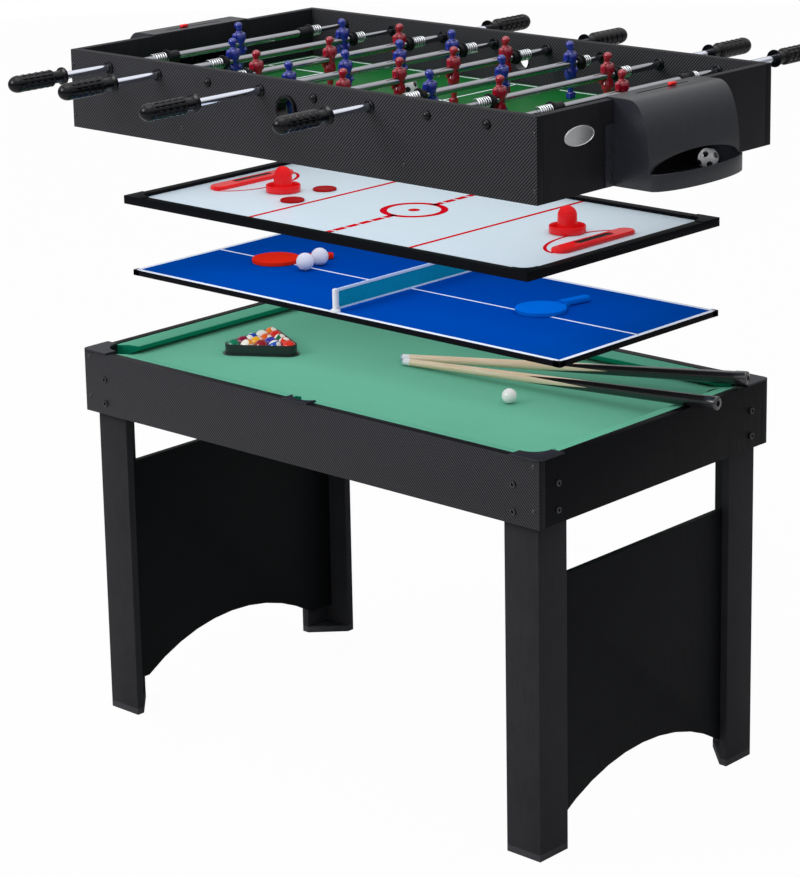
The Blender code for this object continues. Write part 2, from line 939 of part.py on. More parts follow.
def make_hockey_frame():
    bottom = hockey_top - hockey_frame_height
    half_x = hockey_length / 2
    half_y = hockey_width / 2
    item = box("hockey_frame", (-half_x, -half_y, bottom), (half_x, half_y, hockey_top))
    blocks = []
    for side_x in (-1, 1):
        for side_y in (-1, 1):
            low_x, high_x = sorted((side_x * half_x, side_x * (half_x - hockey_corner_block)))
            low_y, high_y = sorted((side_y * half_y, side_y * (half_y - hockey_corner_block)))
            blocks.append(box(
                "corner_block", (low_x, low_y, bottom),
                (high_x, high_y, hockey_top + hockey_corner_rise),
            ))
    join(item, gathered("corner_blocks", blocks))
    opening = rounded_rectangle(
        half_x - hockey_frame_width, half_y - hockey_frame_width,
        hockey_corner_radius, hockey_corner_steps,
    )
    span = hockey_frame_height + hockey_corner_rise + 2 * cut_overrun
    cut(item, plate("hockey_opening", opening, span, "up", (0, 0, (bottom + hockey_top) / 2)))
    # the board lies in a rebate cut into the frame from below
    rebate = hockey_frame_width / 2
    cut(item, box(
        "hockey_rebate",
        (-half_x + rebate, -half_y + rebate, bottom - cut_overrun),
        (half_x - rebate, half_y - rebate, hockey_surface + gap),
    ))
    finish(item, "black_plastic")


def make_hockey_board():
    rebate = hockey_frame_width / 2 + gap
    half_x = hockey_length / 2 - rebate
    half_y = hockey_width / 2 - rebate
    item = box(
        "hockey_board",
        (-half_x, -half_y, hockey_surface - hockey_board_thickness),
        (half_x, half_y, hockey_surface),
    )
    goals = []
    slots = []
    radius = hockey_goal_width / 2
    reach = hockey_goal_length / 2 - radius
    outline = arc((0, reach), radius, 0, 180, cap_arc_steps)
    outline += arc((0, -reach), radius, 180, 360, cap_arc_steps)
    for side in (-1, 1):
        x = side * hockey_goal_place_share * hockey_length
        height = hockey_goal_height + hockey_board_thickness / 2
        middle = hockey_surface + hockey_goal_height - height / 2
        goals.append(plate("hockey_goal", outline, height, "up", (x, 0, middle)))
        slots.append(box(
            "hockey_slot",
            (x - hockey_goal_slot_width / 2, -hockey_goal_slot_length / 2,
             hockey_surface + hockey_goal_floor),
            (x + hockey_goal_slot_width / 2, hockey_goal_slot_length / 2,
             hockey_surface + hockey_goal_height + cut_overrun),
        ))
    join(item, gathered("hockey_goals", goals))
    cut(item, gathered("hockey_slots", slots))
    finish(item, "ice_white")


def make_striker(name, place_shares):
    base = hockey_surface + gap
    knob = striker_knob_radius
    profile = [(0, base + striker_height)]
    # the knob's round top
    for index in range(1, 4):
        angle = math.pi / 2 * index / 3
        profile.append((
            knob * math.sin(angle),
            base + striker_height - knob * (1 - math.cos(angle)),
        ))
    profile += [
        (knob + striker_wall / 2, base + striker_floor),
        (striker_radius - striker_wall, base + striker_floor),
        (striker_radius - striker_wall, base + striker_rim_height),
        (striker_radius, base + striker_rim_height),
        (striker_radius, base),
        (0, base),
    ]
    item = turned(name, profile, striker_sides)
    item.location = (place_shares[0] * hockey_length, place_shares[1] * hockey_width, 0)
    finish(item, "game_red", 30)


# Table football cabinet


def rod_place(index):
    return (index - (len(rods) - 1) / 2) * rod_pitch


def bush(name, side, through):
    """A bush on the wall, its axis along Y and its outer end away from the middle."""
    outer = half_width
    inner = inner_half_width
    flange = bush_flange_thickness
    if through:
        profile = [
            (0, outer + flange),
            (bush_flange_radius, outer + flange),
            (bush_flange_radius, outer - overlap),
            (bush_sleeve_radius, outer - overlap),
        ]
    else:
        # a domed cap closes the far end of the rod
        profile = [
            (0, outer + dome_depth),
            (dome_radius / math.sqrt(2), outer + dome_depth / math.sqrt(2)),
            (dome_radius, outer),
            (dome_radius, outer - overlap),
        ]
    last = profile[-1][0]
    profile += [
        (last, inner + overlap),
        (bush_flange_radius, inner + overlap),
        (bush_flange_radius, inner - flange),
        (0, inner - flange),
    ]
    item = turned(name, profile, bush_sides)
    item.matrix_world = facing("front")
    if side > 0:
        item.matrix_world = Matrix.Rotation(math.pi, 4, "Z") @ item.matrix_world
    return item


def bush_bore(name, side, through):
    spread = math.cos(math.pi / tube_sides)
    inner = inner_half_width - bush_flange_thickness - cut_overrun
    if through:
        radius = tube_radius / spread + running_gap
        outer = half_width + bush_flange_thickness + cut_overrun
    else:
        radius = inner_rod_radius / spread + running_gap
        outer = half_width + dome_depth * dome_blind_share
    item = cylinder(name, radius, inner, outer, tube_sides)
    item.matrix_world = facing("front")
    if side > 0:
        item.matrix_world = Matrix.Rotation(math.pi, 4, "Z") @ item.matrix_world
    return item


def make_long_wall(name, side):
    low, high = sorted((side * half_width, side * inner_half_width))
    item = box(name, (-half_length, low, football_floor), (half_length, high, football_top))
    bushes = []
    bores = []
    for index, rod in enumerate(rods):
        through = rod["side"] == side
        place = Matrix.Translation((rod_place(index), 0, rod_axis_height))
        fitting = bush("bush", side, through)
        fitting.matrix_world = place @ fitting.matrix_world
        bushes.append(fitting)
        bore = bush_bore("bore", side, through)
        bore.matrix_world = place @ bore.matrix_world
        bores.append(bore)
    # the ring of the hole where the ball is dropped in
    outer = half_width + chute_proud
    ring = cylinder("chute_ring", chute_radius + chute_rim, inner_half_width + overlap, outer, chute_sides)
    hole = cylinder(
        "chute_hole", chute_radius, inner_half_width - cut_overrun, outer + cut_overrun, chute_sides,
    )
    for fitting, group in ((ring, bushes), (hole, bores)):
        turn = facing("front")
        if side > 0:
            turn = Matrix.Rotation(math.pi, 4, "Z") @ turn
        fitting.matrix_world = Matrix.Translation((0, 0, chute_height)) @ turn
        group.append(fitting)
    join(item, gathered(name + "_bushes", bushes))
    cut(item, gathered(name + "_bores", bores))
    finish(item, "carbon_board", 30)


def make_end_wall(name, side):
    low, high = sorted((side * half_length, side * inner_half_length))
    half = inner_half_width - gap
    item = box(name, (low, -half, football_floor), (high, half, football_top))
    cut(item, box(
        name + "_goal",
        (low - cut_overrun, -goal_half_width, field_top + gap),
        (high + cut_overrun, goal_half_width, field_top + goal_height),
    ))
    finish(item, "black_board")


def make_field():
    half_x = inner_half_length - gap
    half_y = inner_half_width - gap
    item = box(
        "football_field", (-half_x, -half_y, field_top - field_thickness), (half_x, half_y, field_top),
    )
    finish(item, "field_green")


def hood_outline(wall):
    """Side view of the hood as (outwards, up), drawn in by the wall thickness."""
    bottom = football_floor + wall
    rim = football_floor + box_tray_height
    top = football_top + gap + box_wall - wall
    depth = box_depth - wall
    ledge = box_ledge - wall
    outline = [(gap - wall, bottom), (depth, bottom), (depth, rim)]
    for index in range(1, box_curve_steps + 1):
        angle = math.pi / 2 * index / box_curve_steps
        swell = math.cos(angle) ** box_curve_power_share
        outline.append((ledge + (depth - ledge) * swell, rim + (top - rim) * math.sin(angle)))
    return outline, top


def tray_outline(wall):
    """Plan of the ball tray as (outwards, along), drawn in by the wall thickness."""
    half = box_half_width - wall
    depth = box_depth - wall
    outline = [(gap - wall, -half)]
    for index in range(box_tray_steps + 1):
        angle = math.pi * index / box_tray_steps
        swell = box_tray_bulge * math.sin(angle)
        outline.append((depth + swell, -half * math.cos(angle)))
    outline.append((gap - wall, half))
    return outline


def make_ball_box(name, side):
    """The moulding is drawn for the right end and turned round for the left one."""
    width = 2 * box_half_width
    outline, top = hood_outline(0)
    # the top ledge laps over the end wall
    shell = outline + [(-board_thickness, top), (-board_thickness, football_top + gap), (gap, football_top + gap)]
    item = plate(name, shell, width, "front")
    rim = football_floor + box_tray_height
    tray = plate(
        name + "_tray", tray_outline(0), box_tray_height, "up",
        (0, 0, football_floor + box_tray_height / 2),
    )
    join(item, tray)
    ears = []
    for end in (-1, 1):
        low, high = sorted((
            end * (box_half_width - overlap), end * (box_half_width + box_ear_width),
        ))
        ears.append(box(
            name + "_ear", (gap, low, football_floor + overlap),
            (gap + box_wall, high, football_floor + overlap + box_ear_height),
        ))
    join(item, gathered(name + "_ears", ears))
    inner, inner_top = hood_outline(box_wall)
    hollow = inner + [(gap - box_wall, inner_top)]
    cut(item, plate(name + "_hollow", hollow, width - 2 * box_wall, "front"))
    tray_low = football_floor + box_wall
    tray_high = rim + cut_overrun / 10
    cut(item, plate(
        name + "_tray_hollow", tray_outline(box_wall), tray_high - tray_low, "up",
        (0, 0, (tray_low + tray_high) / 2),
    ))
    # the hood's lower edge is arched above the tray
    arch = []
    for index in range(arch_steps + 1):
        angle = math.pi * index / arch_steps
        arch.append((
            box_arch_half_width * math.cos(angle),
            rim + box_arch_rise * math.sin(angle),
        ))
    cut(item, plate(name + "_arch", arch, box_depth, "side", (box_depth, 0, 0)))
    slot_x = (box_ledge - board_thickness) * score_slot_place_share
    cut(item, box(
        name + "_slot",
        (slot_x - score_slot_width / 2, -score_slot_length / 2, top - 2 * box_wall),
        (slot_x + score_slot_width / 2, score_slot_length / 2, top + cut_overrun),
    ))
    half_turn = Matrix.Identity(4) if side > 0 else Matrix.Rotation(math.pi, 4, "Z")
    item.matrix_world = half_turn @ Matrix.Translation((half_length, 0, 0)) @ item.matrix_world
    finish(item, "black_plastic", 35)


def make_score_marker(name, side):
    top = football_top + gap + box_wall
    slot_x = half_length + (box_ledge - board_thickness) * score_slot_place_share
    seat = top + gap
    item = box(
        name, (-marker_width / 2, -marker_length / 2, seat),
        (marker_width / 2, marker_length / 2, seat + marker_height),
        marker_height / 5,
    )
    stem = box(
        name + "_stem",
        (-marker_stem / 2, -marker_stem / 2, top - box_wall),
        (marker_stem / 2, marker_stem / 2, seat + overlap),
    )
    join(item, stem)
    item.location.x += side * slot_x
    item.location.y += side * marker_rest
    finish(item, "game_red")


# Player rods


def player_places(count):
    if count == 1:
        return [0]
    spacing = player_spacing_shares[count - 2] * clear_width
    return [(index - (count - 1) / 2) * spacing for index in range(count)]


def bumper_place(count):
    """Distance from the rod's middle to the inner end of its bumpers."""
    if count == 1:
        return keeper_bumper_share * clear_width
    return player_places(count)[-1] + man_half_width + bumper_man_gap


def sleeve_length(count):
    return keeper_sleeve_length if count == 1 else bumper_sleeve_length


def spring_length():
    return spring_lead + spring_turns * spring_pitch + spring_wire


def rod_travel(count):
    """How far the rod slides each way before a spring meets the bush."""
    used = bumper_place(count) + sleeve_length(count) + bumper_disc_thickness + spring_length()
    return inner_half_width - bush_flange_thickness - used - gap


def rod_frame(index):
    """The rod's local Z points to its handle, local Y up, local X where its team attacks."""
    rod = rods[index]
    toward = Vector((0, rod["side"], 0))
    up = Vector((0, 0, 1))
    ahead = up.cross(toward)
    frame = Matrix((ahead, up, toward)).transposed().to_4x4()
    shift = rod["rest_share"] * rod_rest_shift
    return Matrix.Translation((rod_place(index), 0, rod_axis_height)) @ frame, shift


def make_man(place):
    sections = []
    for height_share, width_share, depth_share, ahead_share in man_section_shares:
        height = height_share * (man_foot_drop if height_share < 0 else man_crown_rise)
        ring = []
        for step in range(8):
            angle = math.radians(22.5 + 45 * step)
            ring.append((
                man_half_depth * (depth_share * math.cos(angle) + ahead_share),
                height,
                place + man_half_width * width_share * math.sin(angle),
            ))
        sections.append(ring)
    return lofted("man", sections)


def make_bumper(place, outward, count):
    """A rubber sleeve and disc, the disc on the side of the wall."""
    sleeve = sleeve_length(count)
    item = turned("bumper", [
        (0, sleeve + bumper_disc_thickness),
        (bumper_disc_radius, sleeve + bumper_disc_thickness),
        (bumper_disc_radius, sleeve),
        (bumper_sleeve_radius, sleeve),
        (bumper_sleeve_radius, 0),
        (0, 0),
    ], bumper_sides)
    if outward < 0:
        item.matrix_world = Matrix.Rotation(math.pi, 4, "X")
    item.matrix_world = Matrix.Translation((0, 0, outward * place)) @ item.matrix_world
    return item


def spring_points(start, outward):
    """A coil that leaves the bumper straight and then winds towards the wall."""
    points = [
        (spring_radius, 0, start - outward * bumper_disc_thickness / 2),
        (spring_radius, 0, start + outward * spring_lead),
    ]
    steps = int(spring_turns * points_per_turn)
    for index in range(1, steps + 1):
        angle = 2 * math.pi * index / points_per_turn
        points.append((
            spring_radius * math.cos(angle),
            spring_radius * math.sin(angle),
            start + outward * (spring_lead + spring_pitch * index / points_per_turn),
        ))
    return points


def least_spring_gap(points):
    """Least clear distance between turns, measured on the wire's centre points."""
    least = None
    for index, point in enumerate(points):
        for other in points[index + points_per_turn - 1:]:
            apart = math.dist(point, other) - 2 * spring_wire
            least = apart if least is None else min(least, apart)
    return least


def make_grip(start):
    """The handle, turned: a collar, a neck and a ribbed grip with a round end."""
    profile = [(0, start + grip_length)]
    round_start = grip_length - grip_radius / 2
    for index in range(1, 4):
        angle = math.pi / 2 * index / 3
        profile.append((
            grip_radius * math.sin(angle),
            start + round_start + grip_radius / 2 * math.cos(angle),
        ))
    body_low = grip_collar_length + grip_neck_length
    rib = (round_start - body_low) / grip_ribs
    groove = grip_radius - grip_groove_depth
    for index in range(grip_ribs - 1, 0, -1):
        middle = start + body_low + rib * index
        profile.append((grip_radius, middle + grip_groove_depth))
        profile.append((groove, middle))
        profile.append((grip_radius, middle - grip_groove_depth))
    profile += [
        (grip_radius, start + body_low + grip_groove_depth),
        (grip_neck_radius, start + body_low - grip_groove_depth),
        (grip_neck_radius, start + grip_collar_length + grip_groove_depth),
        (grip_collar_radius, start + grip_collar_length),
        (grip_collar_radius, start),
        (0, start),
    ]
    return turned("grip", profile, grip_sides)


def make_player_rod(index):
    rod = rods[index]
    count = rod["players"]
    place = bumper_place(count)
    disc_end = place + sleeve_length(count) + bumper_disc_thickness
    grip_start = rod_reach - grip_length
    tube_end = -disc_end - overlap
    item = turned("player_rod_%d" % (index + 1), [
        (0, grip_start + overlap),
        (tube_radius, grip_start + overlap),
        (tube_radius, tube_end),
        (0, tube_end),
    ], tube_sides)
    fittings = [make_man(spot) for spot in player_places(count)]
    fittings += [make_bumper(place, outward, count) for outward in (-1, 1)]
    fittings.append(make_grip(grip_start))
    join(item, gathered("rod_fittings", fittings))
    # the bore runs from the tube's open end to just short of the grip
    cut(item, cylinder(
        "bore_plug", tube_bore, tube_end - cut_overrun, grip_start - overlap, tube_sides,
    ))
    springs = []
    for outward in (-1, 1):
        points = spring_points(outward * disc_end, outward)
        springs.append(wound("spring", points, spring_wire))
    join(item, gathered("rod_springs", springs))
    frame, shift = rod_frame(index)
    item.matrix_world = Matrix.Translation((0, shift, 0)) @ frame
    finish(item, "chrome", 35)
    reach = rod_travel(count)
    low = round(-reach - shift, 5)
    high = round(reach - shift, 5)
    print(item.name, "players", count, "slide", low, high, "spring gap", round(least_spring_gap(points), 5))


def make_inner_rod(index):
    """The thin rod that the tube telescopes over, held in the domed bush."""
    far_end = half_width + dome_depth * dome_blind_share - gap
    item = turned("inner_rod_%d" % (index + 1), [
        (0, -inner_rod_inset),
        (inner_rod_radius, -inner_rod_inset),
        (inner_rod_radius, -far_end),
        (0, -far_end),
    ], tube_sides)
    frame, shift = rod_frame(index)
    item.matrix_world = frame
    finish(item, "chrome", 35)


def build():
    make_aprons()
    make_legs()
    make_end_panels()
    make_bed()
    make_cushions()
    make_pockets()
    make_cue_ball()
    make_rack()
    make_cues()
    make_tennis_board()
    make_net()
    make_bat("bat_red", bat_red_place_shares, bat_red_turn_degrees, "bat_red")
    make_bat("bat_blue", bat_blue_place_shares, bat_blue_turn_degrees, "bat_blue")
    make_hockey_frame()
    make_hockey_board()
    make_striker("striker_left", striker_left_place_shares)
    make_striker("striker_right", striker_right_place_shares)
    make_long_wall("football_wall_front", -1)
    make_long_wall("football_wall_back", 1)
    make_end_wall("football_wall_left", -1)
    make_end_wall("football_wall_right", 1)
    make_field()
    make_ball_box("ball_box_left", -1)
    make_ball_box("ball_box_right", 1)
    make_score_marker("score_marker_left", -1)
    make_score_marker("score_marker_right", 1)
    for index in range(len(rods)):
        make_inner_rod(index)
        make_player_rod(index)


clear_scene()
parts = new_collection("multi_game_table")
cutters = new_collection("cutters")
work = new_collection("drawing_board")
build()
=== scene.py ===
# Looks of the multi game table: finishes, printed lines, fastenings, balls, players and studio

import json
import random
from math import asin, atan2, copysign, cos, degrees, hypot, pi, radians, sin, sqrt

import bmesh
import bpy
from mathutils import Matrix, Vector


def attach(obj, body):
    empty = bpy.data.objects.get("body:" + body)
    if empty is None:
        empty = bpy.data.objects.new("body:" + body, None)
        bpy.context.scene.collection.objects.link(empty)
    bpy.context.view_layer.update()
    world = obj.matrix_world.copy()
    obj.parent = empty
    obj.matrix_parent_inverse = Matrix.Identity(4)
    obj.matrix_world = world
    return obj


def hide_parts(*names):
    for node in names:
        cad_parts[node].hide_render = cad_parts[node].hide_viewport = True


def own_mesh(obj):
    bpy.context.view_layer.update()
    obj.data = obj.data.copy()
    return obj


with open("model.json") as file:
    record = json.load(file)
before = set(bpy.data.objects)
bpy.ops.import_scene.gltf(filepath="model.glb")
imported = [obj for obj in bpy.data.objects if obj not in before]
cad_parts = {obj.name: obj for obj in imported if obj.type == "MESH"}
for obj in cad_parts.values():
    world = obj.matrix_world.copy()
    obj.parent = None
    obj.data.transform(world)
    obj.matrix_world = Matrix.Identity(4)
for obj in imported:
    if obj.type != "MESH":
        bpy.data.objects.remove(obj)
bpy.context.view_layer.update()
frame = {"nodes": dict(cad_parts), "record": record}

scene = bpy.context.scene

# sizes that several pieces share, in metres, the same as in the part's source
table = {
    "length": 1.070,
    "width": 0.610,
    "height": 0.690,
    "board": 0.015,
    "bedTop": 0.669,
    "tennisTop": 0.826,
    "iceTop": 0.968,
    "cabinetFloor": 1.100,
    "cabinetTop": 1.239,
    "fieldTop": 1.150,
    "rodHeight": 1.216,
    "rodPitch": 0.1243,
    "gap": 0.0003,
}
halfLength = table["length"] / 2
halfWidth = table["width"] / 2
innerLength = halfLength - table["board"]
innerWidth = halfWidth - table["board"]
gap = table["gap"]


# Node helpers: a Signal is one output socket, and sums on it add Math nodes

class Signal:
    def __init__(self, tree, socket):
        self.tree = tree
        self.socket = socket


def feed(tree, slot, value):
    if isinstance(value, Signal):
        tree.links.new(value.socket, slot)
    elif slot.type == "RGBA":
        slot.default_value = (value[0], value[1], value[2], 1.0)
    else:
        slot.default_value = value


def addOperator(name, operation, swapped=False):
    def result(self, *others):
        node = self.tree.nodes.new("ShaderNodeMath")
        node.operation = operation
        values = (*others, self) if swapped else (self, *others)
        for slot, value in zip(node.inputs, values):
            feed(self.tree, slot, value)
        return Signal(self.tree, node.outputs[0])
    setattr(Signal, name, result)


for name, operation in {
    "__add__": "ADD", "__sub__": "SUBTRACT", "__mul__": "MULTIPLY", "__truediv__": "DIVIDE",
    "__mod__": "FLOORED_MODULO", "__pow__": "POWER", "__lt__": "LESS_THAN", "__gt__": "GREATER_THAN",
    "__abs__": "ABSOLUTE", "floor": "FLOOR", "angleTo": "ARCTAN2", "larger": "MAXIMUM",
}.items():
    addOperator(name, operation)
for name, operation in {"__radd__": "ADD", "__rsub__": "SUBTRACT", "__rmul__": "MULTIPLY"}.items():
    addOperator(name, operation, True)


class NodeMaker:
    # adds nodes to one tree: the settings first, then the values or links of the sockets
    def __init__(self, tree):
        self.tree = tree

    def node(self, kind, settings=None, inputs=None, output=0):
        node = self.tree.nodes.new(kind)
        for key, value in (settings or {}).items():
            setattr(node, key, value)
        for key, value in (inputs or {}).items():
            feed(self.tree, node.inputs[key], value)
        return Signal(self.tree, node.outputs[output])

    def split(self, vector):
        node = self.node("ShaderNodeSeparateXYZ", {}, {"Vector": vector}).socket.node
        return [Signal(self.tree, slot) for slot in node.outputs]

    def dot(self, first, second):
        settings = {"operation": "DOT_PRODUCT"}
        return self.node("ShaderNodeVectorMath", settings, {0: first, 1: second}, "Value")


class Finish(NodeMaker):
    # a procedural material on Object coordinates
    def __init__(self, name, **constants):
        self.material = bpy.data.materials.new(name)
        self.material.use_nodes = True
        super().__init__(self.material.node_tree)
        self.surface = self.tree.nodes["Principled BSDF"]
        self.place = self.node("ShaderNodeTexCoord", {}, {}, "Object")
        self.x, self.y, self.z = self.split(self.place)
        self.look(constants)

    def look(self, values):
        for key, value in values.items():
            feed(self.tree, self.surface.inputs[key.replace("_", " ")], value)

    def attribute(self, name, output="Vector"):
        return self.node("ShaderNodeAttribute", {"attribute_name": name}, {}, output)

    def facing(self):
        return self.split(self.node("ShaderNodeNewGeometry", {}, {}, "Normal"))

    def noise(self, scale, detail=2.0, stretch=None, vector=None):
        vector = vector or self.place
        if stretch:
            vector = self.node("ShaderNodeMapping", {}, {"Vector": vector, "Scale": stretch})
        values = {"Vector": vector, "Scale": scale, "Detail": detail}
        return self.node("ShaderNodeTexNoise", {}, values, "Fac")

    def spread(self, value, low, high, lowest=0.0, highest=1.0):
        return self.node("ShaderNodeMapRange", {}, {
            "Value": value, "From Min": low, "From Max": high, "To Min": lowest, "To Max": highest,
        })

    def mix(self, mask, under, over):
        return self.node("ShaderNodeMix", {"data_type": "RGBA"}, {0: mask, 6: under, 7: over}, 2)

    def shaded(self, share, colour, contrast):
        return self.mix(share, toned(colour, 1 - contrast), toned(colour, 1 + contrast))

    def relief(self, height, depth):
        bump = self.node("ShaderNodeBump", {}, {"Height": height, "Distance": depth}, "Normal")
        self.look({"Normal": bump})


class GeometryTree(NodeMaker):
    # a Geometry Nodes tree with named inputs that ends in plain painted mesh
    def __init__(self, name, inputs):
        super().__init__(bpy.data.node_groups.new(name, "GeometryNodeTree"))
        self.identifiers = {}
        for label, kind in {**inputs, "Finish": "NodeSocketMaterial"}.items():
            socket = self.tree.interface.new_socket(label, in_out="INPUT", socket_type=kind)
            self.identifiers[label] = socket.identifier
        self.tree.interface.new_socket("Geometry", in_out="OUTPUT", socket_type="NodeSocketGeometry")
        self.entry = self.tree.nodes.new("NodeGroupInput")

    def given(self, label):
        return Signal(self.tree, self.entry.outputs[label])

    def close(self, geometry):
        whole = self.node("GeometryNodeRealizeInstances", {}, {"Geometry": geometry})
        values = {"Geometry": whole, "Material": self.given("Finish")}
        painted = self.node("GeometryNodeSetMaterial", {}, values)
        self.tree.links.new(painted.socket, self.tree.nodes.new("NodeGroupOutput").inputs[0])

    def run(self, name, carrier, values):
        maker = carrier.modifiers.new(name, "NODES")
        maker.node_group = self.tree
        for label, value in values.items():
            maker[self.identifiers[label]] = value
        mesh = evaluated(carrier)
        carrier.modifiers.remove(maker)
        dropPiece(carrier)
        mesh.name = name
        return mesh


def srgb(red, green, blue):
    linear = []
    for value in (red, green, blue):
        share = value / 255
        linear.append(share / 12.92 if share <= 0.04045 else ((share + 0.055) / 1.055) ** 2.4)
    return tuple(linear)


def toned(colour, factor):
    return tuple(min(1.0, channel * factor) for channel in colour)


# Mesh helpers

identity = Matrix.Identity(4)
# axes of a plate that stands up: its outline's X runs along the table, or along its width
facingFront = Matrix(((1, 0, 0, 0), (0, 0, -1, 0), (0, 1, 0, 0), (0, 0, 0, 1)))
facingRight = Matrix(((0, 0, 1, 0), (1, 0, 0, 0), (0, 1, 0, 0), (0, 0, 0, 1)))


def newPiece(name, mesh):
    piece = bpy.data.objects.new(name, mesh)
    scene.collection.objects.link(piece)
    return piece


def dropPiece(piece):
    bpy.data.objects.remove(piece, do_unlink=True)


def evaluated(piece):
    bpy.context.view_layer.update()
    graph = bpy.context.evaluated_depsgraph_get()
    return bpy.data.meshes.new_from_object(piece.evaluated_get(graph))


def bake(piece):
    mesh = evaluated(piece)
    piece.modifiers.clear()
    piece.data = mesh


def smoothed(mesh, limit=35):
    mesh.shade_smooth()
    mesh.set_sharp_from_angle(angle=radians(limit))
    return mesh


def toMesh(shape, name):
    mesh = bpy.data.meshes.new(name)
    shape.to_mesh(mesh)
    shape.free()
    return mesh


def faceOut(shape):
    bmesh.ops.recalc_face_normals(shape, faces=shape.faces)


def fromShape(name, shape, finish, limit=35):
    bmesh.ops.remove_doubles(shape, verts=shape.verts, dist=0.000001)
    faceOut(shape)
    mesh = toMesh(shape, name)
    mesh.materials.append(finish.material)
    return newPiece(name, smoothed(mesh, limit))


def settle(piece, body, slotName, *nodes):
    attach(piece, body)
    if nodes:
        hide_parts(*nodes)
    return piece


def finishPiece(name, shape, finish, body, slotName, *nodes, limit=35):
    return settle(fromShape(name, shape, finish, limit), body, slotName, *nodes)


def soften(shape, width, segments=2, limit=40, edges=None):
    if edges is None:
        sharp = radians(limit)
        edges = [edge for edge in shape.edges if edge.is_manifold and edge.calc_face_angle() > sharp]
    bmesh.ops.bevel(
        shape, geom=edges, offset=width, segments=segments, profile=0.6,
        affect="EDGES", clamp_overlap=True,
    )


def merged(mesh, distance):
    # the mesh's points joined, and its flat faces as one each
    shape = bmesh.new()
    shape.from_mesh(mesh)
    bmesh.ops.remove_doubles(shape, verts=shape.verts, dist=distance)
    bmesh.ops.dissolve_limit(shape, angle_limit=radians(0.5), verts=shape.verts, edges=shape.edges)
    return shape


def paintNode(node, finish):
    piece = frame["nodes"][node]
    piece.data.materials.clear()
    piece.data.materials.append(finish.material)


def dressNode(node, body, slotName, finish, width=0.0008, segments=2, limit=40):
    # a merged copy of a CAD node with its edges rounded, in the node's place
    shape = merged(frame["nodes"][node].data, 0.00002)
    soften(shape, width, segments, limit)
    finishPiece(node + "_dressed", shape, finish, body, slotName, node, limit=40)


def addRow(shape, points, place=identity):
    return [shape.verts.new(place @ Vector(point)) for point in points]


def addLevel(shape, outline, height, place=identity):
    return addRow(shape, [(u, v, height) for u, v in outline], place)


def addBand(shape, lower, upper):
    # quads between two rows with the same number of points
    for index in range(len(lower)):
        after = (index + 1) % len(lower)
        shape.faces.new((lower[index], lower[after], upper[after], upper[index]))


def addLoft(shape, rings, closed=False):
    for lower, upper in zip(rings, rings[1:]):
        addBand(shape, lower, upper)
    if closed:
        addBand(shape, rings[-1], rings[0])
    else:
        shape.faces.new(reversed(rings[0]))
        shape.faces.new(rings[-1])


def roundTurn(count):
    return [2 * pi * index / count for index in range(count)]


def addTurned(shape, profile, place=identity, sides=48):
    # profile rows are (radius, height), from one end of the turned shape to the other
    rings = []
    for radius, height in profile:
        points = [(radius * cos(angle), radius * sin(angle), height) for angle in roundTurn(sides)]
        if radius < 0.000001:
            points = [(0, 0, height)]
        rings.append(addRow(shape, points, place))
    for lower, upper in zip(rings, rings[1:]):
        for index in range(sides):
            after = index + 1
            corners = list(dict.fromkeys((
                lower[index % len(lower)], lower[after % len(lower)],
                upper[after % len(upper)], upper[index % len(upper)],
            )))
            if len(corners) > 2:
                shape.faces.new(corners)
    return rings


def addSwept(shape, loop, place, start, stop, steps):
    # a closed (radius, height) loop swept round the axis between two angles in degrees
    rings = []
    for index in range(steps + 1):
        angle = radians(start + (stop - start) * index / steps)
        points = [(radius * cos(angle), radius * sin(angle), height) for radius, height in loop]
        rings.append(addRow(shape, points, place))
    addLoft(shape, rings)


def addPlate(shape, outline, low, high, place=identity):
    # a flat outline in its own XY, with a thickness from low to high
    addLoft(shape, [addLevel(shape, outline, height, place) for height in (low, high)])


def addBox(shape, low, high):
    outline = [(low[0], low[1]), (high[0], low[1]), (high[0], high[1]), (low[0], high[1])]
    addPlate(shape, outline, low[2], high[2])


def addBall(shape, centre, radius, rings):
    profile = []
    for index in range(rings + 1):
        angle = pi * index / rings
        profile.append((radius * sin(angle), radius * cos(angle)))
    profile[0] = (0, radius)
    profile[-1] = (0, -radius)
    return addTurned(shape, profile, Matrix.Translation(centre), 2 * rings)


def addRing(shape, outer, inner, low, high, place=identity):
    # a flat ring between two outlines with the same number of points
    corners = ((outer, low), (outer, high), (inner, high), (inner, low))
    addLoft(shape, [addLevel(shape, outline, height, place) for outline, height in corners], True)


def addStrip(shape, line, width, low, high, closed=False):
    # a printed line: a thin ribbon of even width along the points
    points = [Vector(point) for point in line]
    count = len(points)
    left = []
    right = []
    for index, point in enumerate(points):
        before = points[index - 1] if index or closed else None
        after = points[(index + 1) % count] if index < count - 1 or closed else None
        first = (point - before).normalized() if before else (after - point).normalized()
        second = (after - point).normalized() if after else first
        across = Vector((-(first + second).y, (first + second).x)).normalized()
        reach = width / 2 / max(0.3, across.dot(Vector((-first.y, first.x))))
        left.append(point + across * reach)
        right.append(point - across * reach)
    if closed:
        addRing(shape, left, right, low, high)
    else:
        addPlate(shape, left + right[::-1], low, high)


def addMesh(shape, mesh, place):
    # for a shape that was never softened or carved: there the last points are the mesh's own
    before = len(shape.verts)
    shape.from_mesh(mesh)
    shape.verts.ensure_lookup_table()
    bmesh.ops.transform(shape, matrix=place, verts=shape.verts[before:])


def arcPoints(centre, radius, start, stop, steps):
    places = []
    for index in range(steps + 1):
        angle = radians(start + (stop - start) * index / steps)
        places.append((centre[0] + radius * cos(angle), centre[1] + radius * sin(angle)))
    return places


